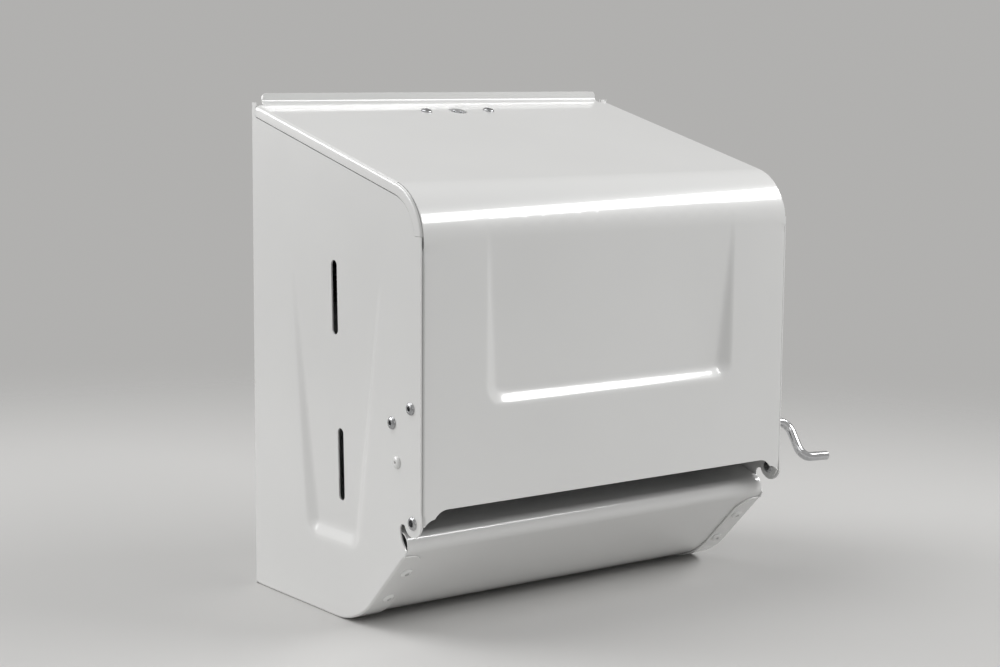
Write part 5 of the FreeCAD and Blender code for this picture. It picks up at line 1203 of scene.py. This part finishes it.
def placing_tree():
    """Sets a copy of a piece on every point, aimed along the point's own arrow."""
    tree, first, last = new_tree("set_on_places", Piece="Object", Size="Float", Seed="Int")
    info = add_node(tree, "GeometryNodeObjectInfo")
    arrow = add_node(tree, "GeometryNodeInputNamedAttribute", {"Name": "arrow"}, data_type="FLOAT_VECTOR")
    aim = add_node(tree, "FunctionNodeAlignRotationToVector", axis="Z")
    chance = add_node(tree, "FunctionNodeRandomValue", {RANDOM_MAX_INPUT: 2 * math.pi})
    spin = add_node(tree, "FunctionNodeAxisAngleToRotation")
    both = add_node(tree, "FunctionNodeRotateRotation", rotation_space="LOCAL")
    place = add_node(tree, "GeometryNodeInstanceOnPoints")
    link_up(tree, (first, "Piece", info, "Object"), (arrow, "Attribute", aim, "Vector"),
            (first, "Seed", chance, "Seed"), (chance, RANDOM_OUTPUT, spin, "Angle"),
            (aim, "Rotation", both, "Rotation"), (spin, "Rotation", both, "Rotate By"),
            (first, "Geometry", place, "Points"), (info, "Geometry", place, "Instance"),
            (both, "Rotation", place, "Rotation"), (first, "Size", place, "Scale"))
    finish_tree(tree, place, "Instances", first, last)
    return tree


def grow(name, mesh, tree, values, node, body):
    """Runs a tree on a mesh, keeps the result as a plain piece and puts it in a node's place."""
    seed = bpy.data.objects.new(name + "_places", mesh)
    bpy.context.collection.objects.link(seed)
    modifier = seed.modifiers.new("grow", "NODES")
    modifier.node_group = tree
    for item in tree.interface.items_tree:
        if item.in_out == "INPUT" and item.name in values:
            modifier[item.identifier] = values[item.name]
    bpy.context.view_layer.update()
    result = bpy.data.meshes.new_from_object(seed.evaluated_get(bpy.context.evaluated_depsgraph_get()))
    bpy.data.objects.remove(seed)
    piece = bpy.data.objects.new(name, result)
    piece.data.name = name
    bpy.context.collection.objects.link(piece)
    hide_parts(node)
    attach(piece, body)
    print(name, len(result.polygons), "faces")
    return piece


PLACING = placing_tree()


def places_mesh(name, places):
    """Points with an arrow each, in metres."""
    mesh = bpy.data.meshes.new(name)
    mesh.from_pydata([tuple(MM * part for part in at) for at, _ in places], [], [])
    arrows = mesh.attributes.new("arrow", "FLOAT_VECTOR", "POINT")
    for k, (_, arrow) in enumerate(places):
        arrows.data[k].vector = arrow
    return mesh


def set_copies(name, section, sides, places, seed, node, body, slot):
    """Turns one piece and sets a copy of it on each place."""
    pattern = bpy.data.objects.new(name + "_pattern", turned_piece(name + "_pattern", section, sides))
    values = {"Piece": pattern, "Size": 1.0, "Seed": seed, "Finish": finishes[slot]}
    grow(name, places_mesh(name, places), PLACING, values, node, body)
    bpy.data.objects.remove(pattern)


# %% Sections and places of the rivets
FOOT_FACE = -2.55


def on_sides(*rows):
    """The same places on the outside of both sides."""
    return [((hand * HALF_WIDTH, y - DEPTH, z), (hand, 0.0, 0.0)) for hand in (-1, 1) for y, z in rows]


def on_slant():
    """Rivet places on the two lower flanges."""
    way = (0.0, -math.sin(SLANT), -math.cos(SLANT))
    spots = [(hand, slant_point(down)) for hand in (-1, 1) for down in RIVET_DOWN]
    return [((hand * RIVET_ACROSS, y - DEPTH, z), way) for hand, (y, z) in spots]


def on_top(x):
    """Place on the top's outer face, in one row with the keyhole."""
    height = REAR_HEIGHT - LOCK_AHEAD * math.tan(TOP_SLOPE)
    return (x, -LOCK_AHEAD, height), (0.0, -math.sin(TOP_SLOPE), math.cos(TOP_SLOPE))


def on_back():
    """Rivet places of the two roll arms and of the strike, seen from inside."""
    return [((x, FOOT_FACE, z), (0.0, -1.0, 0.0)) for x, z in ARM_RIVETS + STRIKE_RIVETS]


HEAD = {"shank": 2.0, "head": 3.9, "height": 1.5, "tail": 2.9, "tail_height": 1.4,
        "eye": 1.45, "eye_depth": 2.6}
POP = {**HEAD, "eye": 0.95, "eye_depth": 2.4}
PIN = {"shank": 2.6, "head": 4.1, "height": 1.3, "tail": 4.1, "tail_height": 1.4,
       "eye": 2.2, "eye_depth": 4.2}
FLUSH = {**HEAD, "tail": 0.0, "tail_height": 0.0, "eye": 0.0, "eye_depth": 0.0}
RIVETS = {
    "bracket_rivets": (HEAD, 2.6, on_sides(*BRACKET_RIVETS), "cabinet", "zinc_steel"),
    "bracket_pop_rivets": (POP, 2.6, on_sides(POP_RIVET), "cabinet", "white_enamel"),
    "hinge_pins": (PIN, 2.5, on_sides(HINGE), "cabinet", "zinc_steel"),
    "tray_rivets": (HEAD, 2.2, on_slant(), "cabinet", "white_enamel"),
    "lock_rivets": (HEAD, 2.25, [on_top(-LOCK_RIVET), on_top(LOCK_RIVET)], "cover", "zinc_steel"),
    "back_rivets": (FLUSH, 2.5, on_back(), "cabinet", "zinc_steel"),
}
for number, (node, (sizes, grip, places, body, slot)) in enumerate(RIVETS.items()):
    set_copies(node + "_set", rivet_section(grip=grip, **sizes), 40, places, number, node, body, slot)

# %% [markdown]
# ## Key barrel
# The keyhole shows a dark ring with a bright rim: the barrel is a tube with a pin in its
# middle, for a pin key. A picture of a keyhole would lie flat, so it is turned from its
# half section too, and set by the same tree.

# %% Barrel section
BARREL = {"pin": 1.7, "bore": 4.3, "rim": 5.4, "tail": 2.5, "cap": 4.0, "foot": 3.6,
          "pin_face": 1.5, "well": 6.0, "face": 0.7, "shoulder": 13.5, "tail_end": 15.6, "end": 17.0}
BARREL_CORNERS = (("pin", "pin_face"), ("pin", "well"), ("bore", "well"), ("bore", "face"), ("rim", "face"),
                  ("rim", "shoulder"), ("tail", "shoulder"), ("tail", "tail_end"), ("cap", "tail_end"),
                  ("foot", "end"))
BARREL_ROUND = 0.25
corners = [(BARREL[radius], -BARREL[depth]) for radius, depth in BARREL_CORNERS]
barrel_section = rounded([(0.0, -BARREL["pin_face"]), *corners, (0.0, -BARREL["end"])], BARREL_ROUND)
set_copies("key_barrel", barrel_section, 64, [on_top(0)], 7, "lock_barrel", "lock", "chrome")

# %% [markdown]
# ## Return spring
# A torsion spring round the lever's rod pulls the lever back up. It is round wire wound in
# close turns. Rings in a row would look alike but have no ends, so a spiral curve gets a
# round section along it.

# %% Spring tree
WIRE = 0.62
WIRE_GAP = 0.12
COIL = 6.4


def spring_tree():
    """Close-wound coil about X, made from its own sizes."""
    tree, first, last = new_tree("coil", Turns="Float", Coil_radius="Float", Length="Float",
                                 Wire_radius="Float", Place="Vector")
    coil = add_node(tree, "GeometryNodeCurveSpiral", {"Resolution": 40})
    wire = add_node(tree, "GeometryNodeCurvePrimitiveCircle", {"Resolution": 14})
    tube = add_node(tree, "GeometryNodeCurveToMesh", {"Fill Caps": True})
    lay = add_node(tree, "GeometryNodeTransform", {"Rotation": (0.0, math.pi / 2, 0.0)})
    link_up(tree, (first, "Turns", coil, "Rotations"), (first, "Coil radius", coil, "Start Radius"),
            (first, "Coil radius", coil, "End Radius"), (first, "Length", coil, "Height"),
            (first, "Wire radius", wire, "Radius"), (coil, "Curve", tube, "Curve"),
            (wire, "Curve", tube, "Profile Curve"), (tube, "Mesh", lay, "Geometry"),
            (first, "Place", lay, "Translation"))
    finish_tree(tree, lay, "Geometry", first, last)
    return tree


spring_low, spring_high = box_mm("return_spring")
coil_length = spring_high[0] - spring_low[0] - 2 * WIRE
spring_start = (spring_low[0] + WIRE, LEVER_AXIS[0] - DEPTH, LEVER_AXIS[1])
spring_sizes = {"Turns": coil_length / (2 * WIRE + WIRE_GAP), "Coil radius": MM * COIL,
                "Length": MM * coil_length, "Wire radius": MM * WIRE,
                "Place": tuple(MM * part for part in spring_start), "Finish": finishes["zinc_steel"]}
spring = grow("torsion_spring", bpy.data.meshes.new("coil_seed"), spring_tree(), spring_sizes,
              "return_spring", "cabinet")
for face in spring.data.polygons:
    face.use_smooth = True

# %% [markdown]
# ## Rubber sleeves
# Three rubber sleeves on the feed roller grip the paper with fine ribs that run along the
# roller. A bump would give the ribs too, but not their outline at the rim. So a plain
# sleeve is turned, and Geometry Nodes lay the ribs round it and repeat the whole along the
# roller.

# %% Ribbed sleeve tree
def sleeve_tree():
    """Ribs in a circle round a sleeve, repeated along X."""
    tree, first, last = new_tree("ribbed_sleeves", Sleeve="Object", Ribs="Int", Rib_radius="Float",
                                 Rib_length="Float", Circle="Float")
    info = add_node(tree, "GeometryNodeObjectInfo")
    around = add_node(tree, "GeometryNodeMeshCircle")
    rib = add_node(tree, "GeometryNodeMeshCylinder", {"Vertices": 8})
    ribs = add_node(tree, "GeometryNodeInstanceOnPoints")
    whole = add_node(tree, "GeometryNodeJoinGeometry")
    lay = add_node(tree, "GeometryNodeTransform", {"Rotation": (0.0, math.pi / 2, 0.0)})
    place = add_node(tree, "GeometryNodeInstanceOnPoints")
    link_up(tree, (first, "Sleeve", info, "Object"), (first, "Ribs", around, "Vertices"),
            (first, "Circle", around, "Radius"), (first, "Rib radius", rib, "Radius"),
            (first, "Rib length", rib, "Depth"), (around, "Mesh", ribs, "Points"),
            (rib, "Mesh", ribs, "Instance"), (ribs, "Instances", whole, "Geometry"),
            (info, "Geometry", whole, "Geometry"), (whole, "Geometry", lay, "Geometry"),
            (first, "Geometry", place, "Points"), (lay, "Geometry", place, "Instance"))
    finish_tree(tree, place, "Instances", first, last)
    return tree


SLEEVE = {"bore": 12.05, "radius": 14.7, "length": 42.0, "pitch": 80.0, "bevel": 0.6}
RIB = {"count": 64, "radius": 0.3, "sunk": 0.02, "short": 1.6}


def sleeve_section():
    """Half section of a plain sleeve with bevelled rims, closed at its bore."""
    bore, radius, half = SLEEVE["bore"], SLEEVE["radius"], SLEEVE["length"] / 2
    rim, edge = radius - SLEEVE["bevel"], half - SLEEVE["bevel"]
    return [(bore, -half), (rim, -half), (radius, -edge), (radius, edge), (rim, half), (bore, half),
            (bore, -half)]


feed_low, feed_high = box_mm("feed_roller_core")
feed_at = ((feed_low[1] + feed_high[1]) / 2, (feed_low[2] + feed_high[2]) / 2)
sleeve_pattern = bpy.data.objects.new("sleeve_pattern", turned_piece("sleeve_pattern", sleeve_section(), 72))
sleeve_places = [((step * SLEEVE["pitch"], *feed_at), (0, 0, 1)) for step in (-1, 0, 1)]
sleeve_sizes = {"Sleeve": sleeve_pattern, "Ribs": RIB["count"], "Rib radius": MM * RIB["radius"],
                "Rib length": MM * (SLEEVE["length"] - RIB["short"]),
                "Circle": MM * (SLEEVE["radius"] - RIB["sunk"]), "Finish": finishes["grey_rubber"]}
grow("rubber_sleeves", places_mesh("sleeve_places", sleeve_places), sleeve_tree(), sleeve_sizes,
     "feed_roller_sleeves", "feed")
bpy.data.objects.remove(sleeve_pattern)
